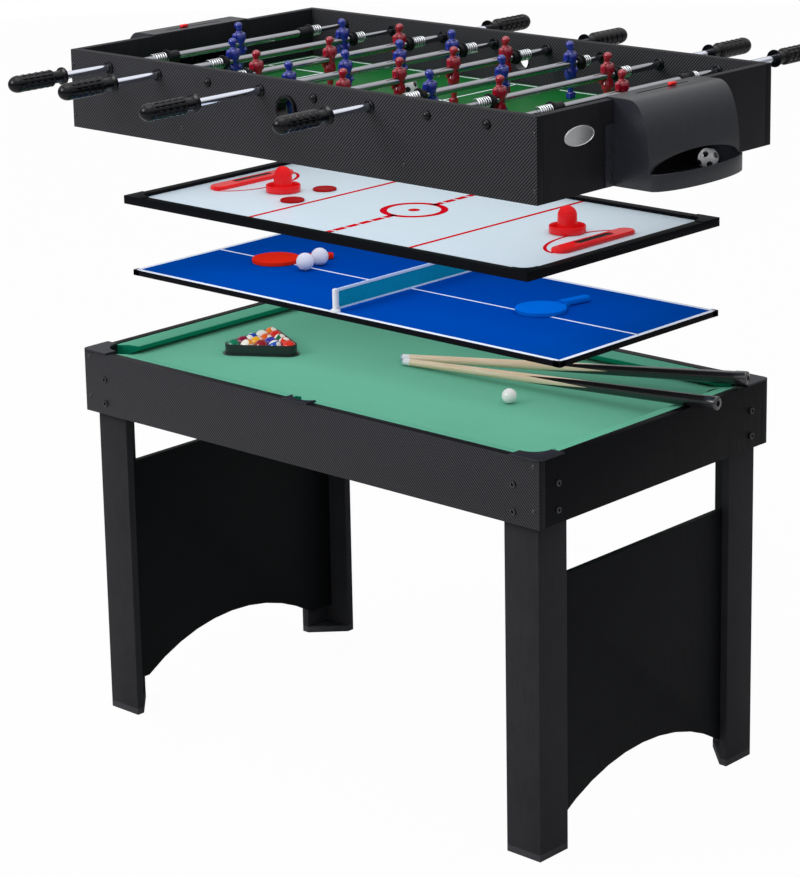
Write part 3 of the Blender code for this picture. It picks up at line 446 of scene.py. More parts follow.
def roundedOutline(halfX, halfY, radius, steps):
    outline = []
    for sideX, sideY, start in ((1, 1, 0), (-1, 1, 90), (-1, -1, 180), (1, -1, 270)):
        centre = (sideX * (halfX - radius), sideY * (halfY - radius))
        outline += arcPoints(centre, radius, start, start + 90, steps)
    return outline


def dome(radius, rise, base, steps):
    # (radius, height) rows from the pole down to the widest ring, at angles in degrees
    rows = [(radius * sin(radians(step)), base + rise * cos(radians(step))) for step in steps]
    return [(0, base + rise)] + rows


def carve(piece, shape, operation="DIFFERENCE"):
    # takes the shape from the piece, or adds it
    faceOut(shape)
    cutter = newPiece("cutter", toMesh(shape, "cutter"))
    change = piece.modifiers.new("carve", "BOOLEAN")
    change.operation = operation
    change.object = cutter
    bake(piece)
    dropPiece(cutter)


def reshape(piece, finish, width=0.0, limit=40, smooth=35):
    # merges, softens and shades a carved piece again
    shape = merged(piece.data, 0.00001)
    if width:
        soften(shape, width, 2, limit)
    name = piece.name
    dropPiece(piece)
    return fromShape(name, shape, finish, smooth)


# Camera, at the photograph's viewing angle

view = {
    "azimuth": 42.8301,
    "elevation": 14.1242,
    "roll": -1.0678,
    "place": (3.3044, -3.6082, 2.0492),
    "focalPixels": 2881.18,
    "centre": (398.58, 293.92),
    "frame": (800, 877),
    "sensor": 36,
}


def makeCamera():
    azimuth, elevation, roll = (radians(view[key]) for key in ("azimuth", "elevation", "roll"))
    back = Vector((sin(azimuth) * cos(elevation), -cos(azimuth) * cos(elevation), sin(elevation)))
    right = Vector((cos(azimuth), sin(azimuth), 0))
    up = back.cross(right)
    rolledRight = right * cos(roll) + up * sin(roll)
    rolledUp = up * cos(roll) - right * sin(roll)
    lens = bpy.data.cameras.new("studioCamera")
    camera = newPiece("studioCamera", lens)
    turn = Matrix((rolledRight, rolledUp, back)).transposed().to_4x4()
    camera.matrix_world = Matrix.Translation(view["place"]) @ turn
    width, height = view["frame"]
    lens.sensor_width = view["sensor"]
    lens.lens = view["focalPixels"] / height * lens.sensor_width
    lens.shift_x = (width / 2 - view["centre"][0]) / height
    lens.shift_y = (view["centre"][1] - height / 2) / height
    lens.clip_end = 100
    scene.camera = camera


# Floor, background and soft lamps

studio = {
    "fillLow": 0.24,
    "fillHigh": 0.86,
    "fillFrom": (-0.55, -0.75, 0.35),
    "shineLow": 0.22,
    "shineFull": 0.75,
    "floorRadius": 9.0,
    "floorTop": -0.002,
    "floorBottom": -0.02,
    "floorColour": (0.60, 0.60, 0.60),
    "floorGlow": 0.975,
    "lamps": (
        # name, place, aim, size, brightness where a wall of 1 looks white
        ("keyLamp", (-1.4, -3.5, 3.3), (0, 0, 0.8), (2.0, 2.0), 7.4),
        ("topLamp", (0.2, -0.3, 4.2), (0, 0, 0.9), (2.6, 2.6), 1.8),
        # each top was photographed by itself, so a soft lamp hangs over each one
        ("hockeyLamp", (0, 0, 1.096), (0, 0, 0), (0.96, 0.52), 1.10),
        ("tennisLamp", (0.05, 0, 0.955), (0.05, 0, 0), (0.92, 0.46), 0.80),
        ("poolLamp", (0.04, 0, 0.812), (0.04, 0, 0), (1.00, 0.42), 0.88),
    ),
    "shownAbove": 2.0,  # gloss mirrors only the lamps above this height
}


def makeSky():
    world = bpy.data.worlds.new("studioWorld")
    world.use_nodes = True
    scene.world = world
    sky = NodeMaker(world.node_tree)
    light = world.node_tree.nodes["Background"]
    rays = sky.node("ShaderNodeLightPath").socket.node
    onCamera, onGlossy, onClear = (
        Signal(sky.tree, rays.outputs["Is %s Ray" % kind])
        for kind in ("Camera", "Glossy", "Transmission")
    )
    seen = onCamera.larger(onClear)
    way = sky.node("ShaderNodeTexCoord", {}, {}, "Generated")
    # the soft light comes mostly from the front left, and gloss mirrors a studio brighter overhead
    lean = sky.dot(way, Vector(studio["fillFrom"]).normalized())
    fill = (lean * 0.5 + 0.5) * (studio["fillHigh"] - studio["fillLow"]) + studio["fillLow"]
    shine = sky.node("ShaderNodeMapRange", {"interpolation_type": "SMOOTHSTEP"}, {
        "Value": sky.split(way)[2], "From Min": 0.0, "From Max": studio["shineFull"],
        "To Min": studio["shineLow"], "To Max": 1.0,
    })
    light.inputs["Color"].default_value = (1, 1, 1, 1)
    strength = seen + onGlossy * (1 - seen) * shine + (1 - seen.larger(onGlossy)) * fill
    feed(sky.tree, light.inputs["Strength"], strength)


def makeStudio():
    scene.view_settings.view_transform = "Standard"
    makeSky()
    for name, place, aim, size, brightness in studio["lamps"]:
        lamp = bpy.data.lights.new(name, "AREA")
        lamp.shape = "RECTANGLE"
        lamp.size, lamp.size_y = size
        lamp.energy = brightness * pi * size[0] * size[1]
        holder = newPiece(name, lamp)
        holder.location = place
        holder.visible_camera = False
        holder.visible_glossy = place[2] > studio["shownAbove"]
        if place[:2] != aim[:2]:
            holder.rotation_euler = (Vector(aim) - Vector(place)).to_track_quat("-Z", "Y").to_euler()
    finish = Finish("studioFloor", Base_Color=studio["floorColour"], Roughness=0.9)
    glow = finish.node("ShaderNodeEmission", {}, {"Color": (1, 1, 1), "Strength": 1.0})
    onCamera = finish.node("ShaderNodeLightPath", {}, {}, "Is Camera Ray")
    mixed = finish.node("ShaderNodeMixShader", {}, {
        0: onCamera * studio["floorGlow"], 1: Signal(finish.tree, finish.surface.outputs[0]), 2: glow,
    })
    feed(finish.tree, finish.tree.nodes["Material Output"].inputs["Surface"], mixed)
    shape = bmesh.new()
    top, bottom, radius = studio["floorTop"], studio["floorBottom"], studio["floorRadius"]
    addTurned(shape, [(0, top), (radius, top), (radius, bottom), (0, bottom)], identity, 96)
    fromShape("studioFloor", shape, finish)


# Finishes

carbon = {
    "thread": 0.0015,
    "light": srgb(75, 75, 80),
    "dark": srgb(3, 3, 4),
    "edge": srgb(24, 25, 29),
    "depth": 0.00004,
}


def makeCarbonFoil(name, lean):
    # a printed twill: a lean of 1 lets its stripes fall to the right, and -1 lets them climb
    finish = Finish(name, Specular_IOR_Level=0.10)
    across = finish.x / carbon["thread"]
    rise = finish.z / carbon["thread"]
    column = across.floor()
    row = rise.floor()
    lying = ((column + row * lean) % 4) < 1.6
    crownAcross = 1 - (abs((across - column) * 2 - 1)) ** 2
    crownUp = 1 - (abs((rise - row) * 2 - 1)) ** 2
    crown = lying * crownAcross + (1 - lying) * crownUp
    shade = lying * (crown * 0.5 + 0.5) * 0.86 + finish.noise(300) * 0.14
    woven = abs(finish.facing()[1]) > 0.7  # only the faces to the front and the back are printed
    twill = finish.mix(shade, carbon["dark"], carbon["light"])
    finish.look({
        "Base Color": finish.mix(woven, carbon["edge"], twill), "Roughness": 0.48 - lying * 0.10,
    })
    finish.relief(crown * 0.5 + lying * 0.5, carbon["depth"])
    return finish


def makeBoardFoil(name, colour, roughness=0.42, footColour=None):
    # satin foil on board, with fine pores
    finish = Finish(name, Specular_IOR_Level=0.08)
    pores = finish.noise(160, 4, (1, 1, 0.18))
    shade = finish.spread(pores * 0.6 + finish.noise(14) * 0.4, 0.3, 0.7)
    base = finish.mix(shade, toned(colour, 0.82), toned(colour, 1.2))
    rough = finish.spread(pores, 0.3, 0.7, roughness - 0.05, roughness + 0.07)
    if footColour:
        # the flat foot plates on the floor are lighter than the foil
        base = finish.mix(finish.z < 0.012, base, footColour)
    finish.look({"Base Color": base, "Roughness": rough})
    finish.relief(pores, 0.00003)
    return finish


def makePlastic(name, colour, roughness=0.35, grain=0.00003, scale=1100, specular=0.4, coat=0.0):
    finish = Finish(name, Specular_IOR_Level=specular, Coat_Weight=coat, Coat_Roughness=0.08)
    fine = finish.noise(scale)
    wide = finish.noise(25)
    shade = finish.spread(fine * 0.5 + wide * 0.5, 0.2, 0.8)
    finish.look({
        "Base Color": finish.shaded(shade, colour, 0.07),
        "Roughness": finish.spread(wide, 0.1, 0.9, roughness - 0.02, roughness + 0.04),
    })
    if grain:
        finish.relief(fine, grain)
    return finish


def makeCloth(name, colour, contrast=0.08, standingShadeColour=None):
    finish = Finish(name, Specular_IOR_Level=0.0, Sheen_Weight=0.03, Sheen_Roughness=0.5)
    fibres = finish.noise(1400, 3)
    threads = finish.noise(420, 2, (1.0, 0.3, 1.0))
    mottled = fibres * 0.4 + threads * 0.35 + finish.noise(6) * 0.25
    base = finish.shaded(finish.spread(mottled, 0.32, 0.68), colour, contrast)
    if standingShadeColour:
        # painted shade: faces that stand up take a darker, deeper green, the shade that falls on the
        # cushions' noses
        base = finish.mix(finish.spread(finish.facing()[2], 0.35, 0.95), standingShadeColour, base)
    finish.look({"Base Color": base, "Roughness": finish.spread(fibres, 0.3, 0.7, 0.82, 0.95)})
    finish.relief(fibres * 0.6 + threads * 0.4, 0.00010)
    return finish


def makePrinted(name, colour, roughness=0.3, contrast=0.03, specular=0.35):
    # a printed and varnished face
    finish = Finish(name, Specular_IOR_Level=specular)
    grain = finish.noise(700, 3)
    shade = finish.spread(grain * 0.5 + finish.noise(5) * 0.5, 0.3, 0.7)
    finish.look({
        "Base Color": finish.shaded(shade, colour, contrast),
        "Roughness": finish.spread(grain, 0.3, 0.7, roughness - 0.04, roughness + 0.06),
    })
    finish.relief(grain, 0.00002)
    return finish


def makeMetal(name, colour, roughness=0.14, outsideShine=None):
    finish = Finish(name, Metallic=1.0)
    wear = finish.spread(finish.noise(220, 3), 0.3, 0.7, roughness - 0.04, roughness + 0.08)
    base = finish.mix(finish.spread(finish.noise(18), 0.3, 0.7), toned(colour, 0.92), colour)
    if outsideShine:
        # painted highlight: brighter where it comes out of the side walls, so the tube inside the
        # cabinet looks shaded
        outside = finish.spread(abs(finish.y), innerWidth - 0.02, halfWidth)
        base = finish.mix(outside, base, outsideShine)
    finish.look({"Base Color": base, "Roughness": wear})
    return finish


makeCamera()
makeStudio()
print("stage: camera and studio made")

cabinetFoil = makeCarbonFoil("cabinetCarbonFoil", -1)
apronWeave = makeCarbonFoil("apronCarbonFoil", 1)
endFoil = makeBoardFoil("endBoardFoil", srgb(32, 32, 36))
apronFoil = makeBoardFoil("apronEndFoil", srgb(9, 10, 14))
legFoil = makeBoardFoil("legFoil", srgb(42, 42, 45), 0.5, srgb(62, 62, 66))
panelFoil = makeBoardFoil("endPanelFoil", srgb(18, 19, 22), 0.5)
mouldedBlack = makePlastic("mouldedBlack", srgb(42, 44, 51), 0.26, 0, specular=0.5)
capPlastic = makePlastic("pocketPlastic", srgb(34, 35, 44), 0.4, specular=0.25)
cupPlastic = makePlastic("pocketCupPlastic", srgb(12, 12, 14), 0.6, specular=0.2)
rackPlastic = makePlastic("rackPlastic", srgb(34, 46, 44), 0.34)
gripPlastic = makePlastic("gripPlastic", srgb(8, 9, 14), 0.2, 0, specular=0.26)
rubberBlack = makePlastic("bumperRubber", srgb(20, 20, 24), 0.5, specular=0.2)
screwBlack = makePlastic("screwBlack", srgb(20, 20, 24), 0.2, 0, specular=0.7)
bedCloth = makeCloth("bedCloth", srgb(98, 171, 145))
# the cushion cloth's third colour is painted shade on its standing faces
cushionCloth = makeCloth("cushionCloth", srgb(94, 168, 141), 0.06, srgb(10, 122, 92))
polishedWhite = makePlastic("polishedWhite", srgb(236, 236, 236), 0.12, 0, specular=0.5)
tennisBlue = makePrinted("tennisBlue", srgb(0, 69, 161), 0.5, 0.03, 0.0)
lineWhite = makePrinted("printedWhite", srgb(232, 238, 248), 0.35, 0.02, 0.0)
edgeBlack = makePlastic("edgeBlack", srgb(12, 13, 19), 0.45, 0.00001, 500, 0.04)
netGreen = makeCloth("netGreen", srgb(6, 142, 172), 0.18)
tapeWhite = makeCloth("netTape", srgb(205, 222, 240), 0.04)
postWhite = makePlastic("netPostWhite", srgb(225, 228, 236), 0.3, specular=0.1)
batRed = makePlastic("batRed", srgb(226, 42, 22), 0.5, 0.00005, 700, 0.0)
batBlue = makePlastic("batBlue", srgb(2, 104, 206), 0.5, 0.00005, 700, 0.0)
ballWhite = makePlastic("tennisBallWhite", srgb(238, 238, 240), 0.45, 0.00002, 900, 0.3)
iceWhite = makePrinted("icePrint", srgb(210, 222, 238), 0.2, 0.015, 0.06)
lineRed = makePrinted("printedRed", srgb(196, 14, 30), 0.4, 0.03, 0.0)
gameRed = makePlastic("gameRed", srgb(238, 26, 34), 0.2, 0, specular=0.22, coat=0.12)
puckRed = makePlastic("puckRed", srgb(166, 20, 24), 0.4, 0.00002, 900, 0.02)
slotBlack = makePlastic("slotBlack", srgb(18, 18, 20), 0.5)
fieldGreen = makePrinted("fieldPrint", srgb(10, 100, 40), 0.36, 0.05, 0.2)
playerBlue = makePlastic("playerBlue", srgb(26, 40, 140), 0.15, 0, specular=0.5, coat=0.5)
playerRed = makePlastic("playerRed", srgb(150, 12, 38), 0.15, 0, specular=0.5, coat=0.5)
# the chrome's second colour is a painted highlight on the tubes outside the cabinet, and the darker
# colour inside is painted shade
chromeTube = makeMetal("chromeTube", srgb(168, 170, 176), 0.09, srgb(230, 234, 248))
springSteel = makeMetal("springSteel", srgb(238, 240, 244), 0.26)
badgeSilver = makeMetal("badgeSilver", srgb(240, 241, 244), 0.3)
print("stage: finishes made")

# Fastenings, scattered on points that carry the way they face

scatterTree = GeometryTree("scatterFastenings", {
    "Points": "NodeSocketGeometry", "Model": "NodeSocketObject", "Size": "NodeSocketFloat",
})
model = scatterTree.node("GeometryNodeObjectInfo", {"transform_space": "ORIGINAL"}, {
    "Object": scatterTree.given("Model"),
}, "Geometry")
way = scatterTree.node("GeometryNodeInputNamedAttribute", {"data_type": "FLOAT_VECTOR"}, {
    "Name": "facing",
})
turned = scatterTree.node("FunctionNodeAlignRotationToVector", {"axis": "Z"}, {"Vector": way})
scatterTree.close(scatterTree.node("GeometryNodeInstanceOnPoints", {}, {
    "Points": scatterTree.given("Points"), "Instance": model, "Rotation": turned,
    "Scale": scatterTree.given("Size"),
}))


def scatter(name, finish, modelShape, spots, size):
    # spots are (place, way out) pairs; the model's own +Z faces out
    source = fromShape(name + "_model", modelShape, finish)
    mesh = bpy.data.meshes.new(name)
    mesh.from_pydata([spot[0] for spot in spots], [], [])
    ways = mesh.attributes.new("facing", "FLOAT_VECTOR", "POINT")
    for index, spot in enumerate(spots):
        ways.data[index].vector = spot[1]
    carrier = newPiece(name + "_points", mesh)
    result = scatterTree.run(name, carrier, {"Model": source, "Size": size, "Finish": finish.material})
    dropPiece(source)
    return newPiece(name, smoothed(result))


def fasten(name, finish, modelShape, spots, size, body, *nodes):
    settle(scatter(name, finish, modelShape, spots, size), body, "black_plastic", *nodes)


def wallSpots(places):
    # the same places on the front and on the back face
    return [((x, side * halfWidth, height), (0, side, 0)) for x, height in places for side in (-1, 1)]


fastening = {
    "boltRadius": 0.0060,
    "boltRise": 0.0032,
    "boltSides": 24,
    "socketRadius": 0.0032,
    "screwRadius": 0.0036,
    "screwRise": 0.0016,
}


def boltShape():
    # a low round head with a hexagon socket
    shape = bmesh.new()
    radius, rise, socket = fastening["boltRadius"], fastening["boltRise"], fastening["socketRadius"]
    ring = addTurned(shape, [
        (0, 0), (radius, 0), (radius, rise * 0.45), (radius * 0.93, rise * 0.8),
        (radius * 0.72, rise), (socket * 1.25, rise),
    ], identity, fastening["boltSides"])[-1]
    for height in (rise * 0.98, rise * 0.25):
        points = []
        for angle in roundTurn(fastening["boltSides"]):
            reach = socket * cos(pi / 6) / cos((angle % (pi / 3)) - pi / 6)
            points.append((reach * cos(angle), reach * sin(angle), height))
        lower = addRow(shape, points)
        addBand(shape, ring, lower)
        ring = lower
    shape.faces.new(ring)
    return shape


def screwShape():
    # a low pan head
    shape = bmesh.new()
    radius, rise = fastening["screwRadius"], fastening["screwRise"]
    addTurned(shape, [
        (0, 0), (radius, 0), (radius, rise * 0.4), (radius * 0.8, rise * 0.85), (radius * 0.45, rise),
        (0, rise),
    ], identity, 20)
    return shape


# Pool table

pool = {
    "capArc": 0.0323,
    "capReach": 0.0595,
    "capLip": 0.003,
    "capThickness": 0.003,
    "capCorner": 0.010,
    "capRound": 0.0011,
    "sideReach": 0.021,
    "sideHalf": 0.029,
    "collarGap": 0.0008,
    "collarTurn": 51,
    "cupRadius": 0.0249,
    "cupDepth": 0.053,
    "cupCorner": 0.004,
    "wall": 0.0016,
    "cornerInset": 0.0555,
    "sideInset": 0.0402,
    "noseRound": 0.0016,
    "boltX": 0.482,
    "boltY": 0.259,
    "boltHeights": (0.643, 0.598),
    "endBoltRise": 0.002,
    "cornerScrewX": 0.523,
    "cornerScrewHeights": (0.680, 0.606),
}


def capOutline(sideX, sideY):
    lip, arc = -pool["capLip"], pool["capArc"]
    if sideX:
        inset, reach, radius = pool["cornerInset"], pool["capReach"], pool["capCorner"]
        start = degrees(asin((reach - inset) / arc))
        outline = arcPoints((lip + radius, lip + radius), radius, 180, 270, 6)
        outline += [(reach, lip)]
        outline += arcPoints((inset, inset), arc, start - 90, -180 - start, 24)
        outline += [(lip, reach)]
        return [(sideX * (halfLength - u), sideY * (halfWidth - v)) for u, v in outline]
    inset, reach, half = pool["sideInset"], pool["sideReach"], pool["sideHalf"]
    start = degrees(asin((inset - reach) / arc))
    outline = [(-half, reach), (-half, lip), (half, lip), (half, reach)]
    outline += arcPoints((0, inset), arc, -start, start - 180, 24)
    return [(u, sideY * (halfWidth - v)) for u, v in outline]


def makePocket(node, sideX, sideY):
    capLow = table["height"] + gap
    capTop = capLow + pool["capThickness"]
    shape = bmesh.new()
    addPlate(shape, capOutline(sideX, sideY), capLow, capTop)
    faceOut(shape)
    rim = [edge for edge in shape.edges if all(vert.co.z > capTop - 0.0001 for vert in edge.verts)]
    soften(shape, pool["capRound"], 3, edges=rim)
    finishPiece(node + "_cap", shape, capPlastic, "pool_table", "black_plastic", node, limit=50)
    # the collar stands on the bed under the cap, and the cup hangs below it
    inset = pool["cornerInset"] if sideX else pool["sideInset"]
    place = Matrix.Translation((sideX * (halfLength - inset), sideY * (halfWidth - inset), 0))
    outward = degrees(atan2(sideY, sideX)) if sideX else 90 * sideY
    wall, cup, corner = pool["wall"], pool["cupRadius"], pool["cupCorner"]
    collar = pool["capArc"] + pool["collarGap"]
    bed = table["bedTop"]
    shape = bmesh.new()
    addSwept(shape, [
        (cup - wall, bed + gap), (cup - wall, bed + wall), (collar, bed + wall),
        (collar, capLow + 0.001), (collar + wall, capLow + 0.001), (collar + wall, bed + gap),
    ], place, outward - pool["collarTurn"], outward + pool["collarTurn"], 20)
    low = bed - pool["cupDepth"]
    addTurned(shape, [
        (0, low + wall), (cup - wall - corner, low + wall), (cup - wall, low + wall + corner),
        (cup - wall, bed), (cup, bed), (cup, low + corner), (cup - corner, low), (0, low),
    ], place)
    finishPiece(node + "_cup", shape, cupPlastic, "pool_table", "black_plastic", node, limit=40)


def makePoolTable():
    legs = ["leg_%s_%s" % (side, end) for side in ("front", "back") for end in ("left", "right")]
    for nodes, slotName, finish in (
        (("apron_front", "apron_back"), "carbon_board", apronWeave),
        (("apron_left", "apron_right"), "black_board", apronFoil),
        (legs, "black_board", legFoil),
        (("end_panel_left", "end_panel_right"), "black_board", panelFoil),
    ):
        for node in nodes:
            dressNode(node, "pool_table", slotName, finish)
    paintNode("pool_bed", bedCloth)
    for end in ("front_left", "front_right", "back_left", "back_right", "left", "right"):
        node = "cushion_" + end
        dressNode(node, "pool_table", "cushion_cloth", cushionCloth, pool["noseRound"], 3, 20)
    for side, sideY in (("front", -1), ("back", 1)):
        for end, sideX in (("left", -1), ("middle", 0), ("right", 1)):
            makePocket("pocket_%s_%s" % (side, end), sideX, sideY)
    ends = (-1, 1)
    bolts = wallSpots((end * pool["boltX"], height) for height in pool["boltHeights"] for end in ends)
    for height in pool["boltHeights"]:
        for across in (-pool["boltY"], pool["boltY"]):
            for end in ends:
                bolts.append(((end * halfLength, across, height + pool["endBoltRise"]), (end, 0, 0)))
    screws = wallSpots(
        (end * pool["cornerScrewX"], height) for height in pool["cornerScrewHeights"] for end in ends
    )
    fasten("pool_bolts", screwBlack, boltShape(), bolts, 1.0, "pool_table")
    fasten("pool_screws", screwBlack, screwShape(), screws, 1.0, "pool_table")


makePoolTable()
print("stage: pool table made")

# Loose pool pieces

loose = {
    "ballRadius": 0.0130,
    "rackPlace": (-0.313 * 1.070, -0.074 * 0.610),
    "rackTurn": 33.0,
    "rackHeight": 0.0195,
    "rackWall": 0.0022,
    "rackFlange": 0.0045,
    "flangeHeight": 0.002,
    "rackCorner": 0.014,
    "rackRound": 0.0007,
    "cueBallPlace": (0.224 * 1.070, -0.049 * 0.610),
    "ballSeed": 12,
    "ballColours": (
        (234, 120, 30), (232, 232, 228), (214, 44, 36), (30, 70, 170), (226, 96, 30),
        (28, 110, 72), (128, 30, 60), (236, 170, 40), (60, 60, 170), (226, 64, 40),
        (24, 120, 90), (236, 150, 40), (150, 40, 50), (44, 90, 190), (224, 60, 44),
    ),
}


def makeBallFinish():
    # each ball carries its colour, and its own poles for the stripe and the white spots
    finish = Finish("poolBallResin", Specular_IOR_Level=0.5, Coat_Weight=0.4)
    spotAxis, stripeAxis = finish.split(finish.attribute("ballPlace"))[::2]
    caps = (abs(stripeAxis) > 0.56) * finish.attribute("ballStripe", "Fac")
    white = (abs(spotAxis) > 0.89).larger(caps)
    finish.look({
        "Base Color": finish.mix(white, finish.attribute("ballColour", "Color"), srgb(235, 232, 224)),
        "Roughness": finish.spread(finish.noise(60), 0.3, 0.7, 0.08, 0.16),
    })
    return finish


def rackOutline(side, radius):
    corner = 2 * (side - radius)
    outline = []
    for angle in (90, 210, 330):
        centre = (corner * cos(radians(angle)), corner * sin(radians(angle)))
        outline += arcPoints(centre, radius, angle - 60, angle + 60, 10)
    return outline


def makeRack():
    radius, wall, corner = loose["ballRadius"], loose["rackWall"], loose["rackCorner"]
    inner = radius + 4 * radius / sqrt(3)
    outer = inner + wall
    flange = loose["rackFlange"]
    place = Matrix.Translation((*loose["rackPlace"], table["bedTop"] + gap))
    place = place @ Matrix.Rotation(radians(loose["rackTurn"]), 4, "Z")
    shape = bmesh.new()
    inside = rackOutline(inner, corner)
    addRing(shape, rackOutline(outer, corner + wall), inside, 0, loose["rackHeight"], place)
    foot = bmesh.new()
    wide = rackOutline(outer + flange, corner + wall + flange)
    addRing(foot, wide, rackOutline(outer - 0.0006, corner + 0.0016), 0, loose["flangeHeight"], place)
    for part in (shape, foot):
        faceOut(part)
        soften(part, loose["rackRound"])
    shape.from_mesh(toMesh(foot, "rack_foot"))
    finishPiece("ball_rack_frame", shape, rackPlastic, "rack", "black_plastic", "ball_rack")
    # fifteen balls in five rows, the first at the triangle's far corner
    mixer = random.Random(loose["ballSeed"])
    shape = bmesh.new()
    colourLayer = shape.verts.layers.float_color.new("ballColour")
    placeLayer = shape.verts.layers.float_vector.new("ballPlace")
    stripeLayer = shape.verts.layers.float.new("ballStripe")
    number = 0
    for row in range(5):
        for column in range(row + 1):
            across = (column - row / 2) * 2 * radius
            along = 8 * radius / sqrt(3) - row * radius * sqrt(3)
            centre = place @ Vector((across, along, radius + gap))
            turn = Matrix.Rotation(mixer.uniform(0, 6.28), 3, "X")
            turn = turn @ Matrix.Rotation(mixer.uniform(0, 6.28), 3, "Y")
            colour = srgb(*loose["ballColours"][number])
            for ring in addBall(shape, centre, radius * 0.985, 14):
                for vert in ring:
                    vert[colourLayer] = (*colour, 1.0)
                    vert[placeLayer] = turn @ ((vert.co - centre) / radius)
                    vert[stripeLayer] = number % 2
            number += 1
    finishPiece("racked_balls", shape, makeBallFinish(), "rack", "white_ball", limit=60)


cue = {
    "length": 0.655,
    "tipRadius": 0.0063,
    "buttRadius": 0.0112,
    "tip": 0.004,
    "ferrule": 0.018,
    "splice": 0.272,
    "splicePoints": 0.13,
    "buttCap": 0.022,
    "sides": 40,
    # radius and way from the tip
    "tipProfile": ((0, 0), (0.0045, 0.0002), (0.0058, 0.0012)),
    # radius and way from the end of the butt, which has a shallow bore
    "buttProfile": (
        (0.0119, 0.0215), (0.0120, 0.003), (0.0114, 0.0008), (0.0104, 0), (0.0052, 0), (0.0046, 0.006),
        (0, 0.006),
    ),
    "tips": {"back": (-0.08667, 0.05429, 0.6756), "front": (-0.06634, 0.03599, 0.6756)},
}


def makeCueFinish():
    # wood with a white ferrule, and a black butt whose splice runs into the wood in points
    finish = Finish("cueWood", Specular_IOR_Level=0.8, Coat_Weight=0.7, Coat_Roughness=0.1)
    local = finish.attribute("cuePlace")
    u, v, along = finish.split(local)
    grain = finish.noise(1.0, 4.0, (500, 500, 14), local)
    colour = finish.mix(finish.spread(grain, 0.3, 0.7), srgb(222, 194, 158), srgb(242, 224, 198))
    wave = abs((v.angleTo(u) / (2 * pi) + 0.5) * 4 % 1 - 0.5) * 2
    for mask, over in (
        (along > (wave * cue["splicePoints"] + cue["splice"]), srgb(22, 20, 24)),
        (along > cue["length"] - cue["buttCap"], srgb(34, 34, 40)),
        (along < cue["ferrule"], srgb(236, 238, 244)),
        (along < cue["tip"], srgb(150, 170, 190)),
    ):
        colour = finish.mix(mask, colour, over)
    finish.look({"Base Color": colour, "Roughness": finish.spread(grain, 0.3, 0.7, 0.24, 0.36)})
    return finish


def makeCue(side, finish):
    # a cue lies along its own joint's axis
    joint = side + "_cue_draw"
    rows = frame["record"]["behaviour"]["joints"]
    axis = Vector(next(row["axis"] for row in rows if row["name"] == joint))
    length, thin, thick, ferrule = cue["length"], cue["tipRadius"], cue["buttRadius"], cue["ferrule"]
    turn = axis.to_track_quat("Z", "Y").to_matrix().to_4x4()
    profile = [*cue["tipProfile"], (thin, cue["tip"]), (thin, ferrule)]
    for index in range(1, 15):
        share = index / 14
        along = ferrule + (length - cue["buttCap"] - ferrule) * share
        profile.append((thin + (thick - thin) * share, along))
    profile += [(radius, length - back) for radius, back in cue["buttProfile"]]
    shape = bmesh.new()
    layer = shape.verts.layers.float_vector.new("cuePlace")
    for ring in addTurned(shape, profile, identity, cue["sides"]):
        for vert in ring:
            vert[layer] = vert.co
    place = Matrix.Translation(cue["tips"][side]) @ turn
    bmesh.ops.transform(shape, matrix=place, verts=shape.verts)
    node = "cue_" + side
    finishPiece(node + "_turned", shape, finish, side + "_cue", "cue_wood", node, limit=40)


def makeLoosePieces():
    makeRack()
    radius = loose["ballRadius"]
    shape = bmesh.new()
    addBall(shape, (*loose["cueBallPlace"], table["bedTop"] + gap + radius), radius, 32)
    name = "white_ball"
    finishPiece("cue_ball_polished", shape, polishedWhite, name, name, "cue_ball", limit=60)
    finish = makeCueFinish()
    for side in cue["tips"]:
        makeCue(side, finish)


makeLoosePieces()
print("stage: loose pool pieces made")

# Table tennis top

tennis = {
    "length": 1.000,
    "width": 0.420,
    "thickness": 0.010,
    "edge": 0.0012,
    "faceSink": 0.0004,
    "line": 0.0085,
    "middleLine": 0.55,  # share of the other lines' width
    "lineRise": 0.0002,
    "cornerReach": 0.014,
    "cornerWall": 0.0016,
    "netHeight": 0.040,
    "netFoot": 0.004,
    "netDrop": 0.001,
    "netInset": 0.0045,
    "netHalf": 0.0004,
    "tapeHalf": 0.0014,
    "hemHalf": 0.0010,
    "postY": 0.202,
    "ballRadius": 0.016,
    "balls": ((-0.250, -0.020), (-0.257, 0.025)),
    "bladeRadius": 0.044,
    "bladeThickness": 0.007,
    "shoulderHalf": 0.0150,
    "shoulderLength": 0.016,
    "bladeRound": 0.0011,
    "handleLength": 0.061,
    "handleHalf": (0.0090, 0.0055),
    # place and turn of each bat
    "bats": {"red": (-0.341, -0.0029, 50.0), "blue": (0.270, 0.0189, 80.0)},
}


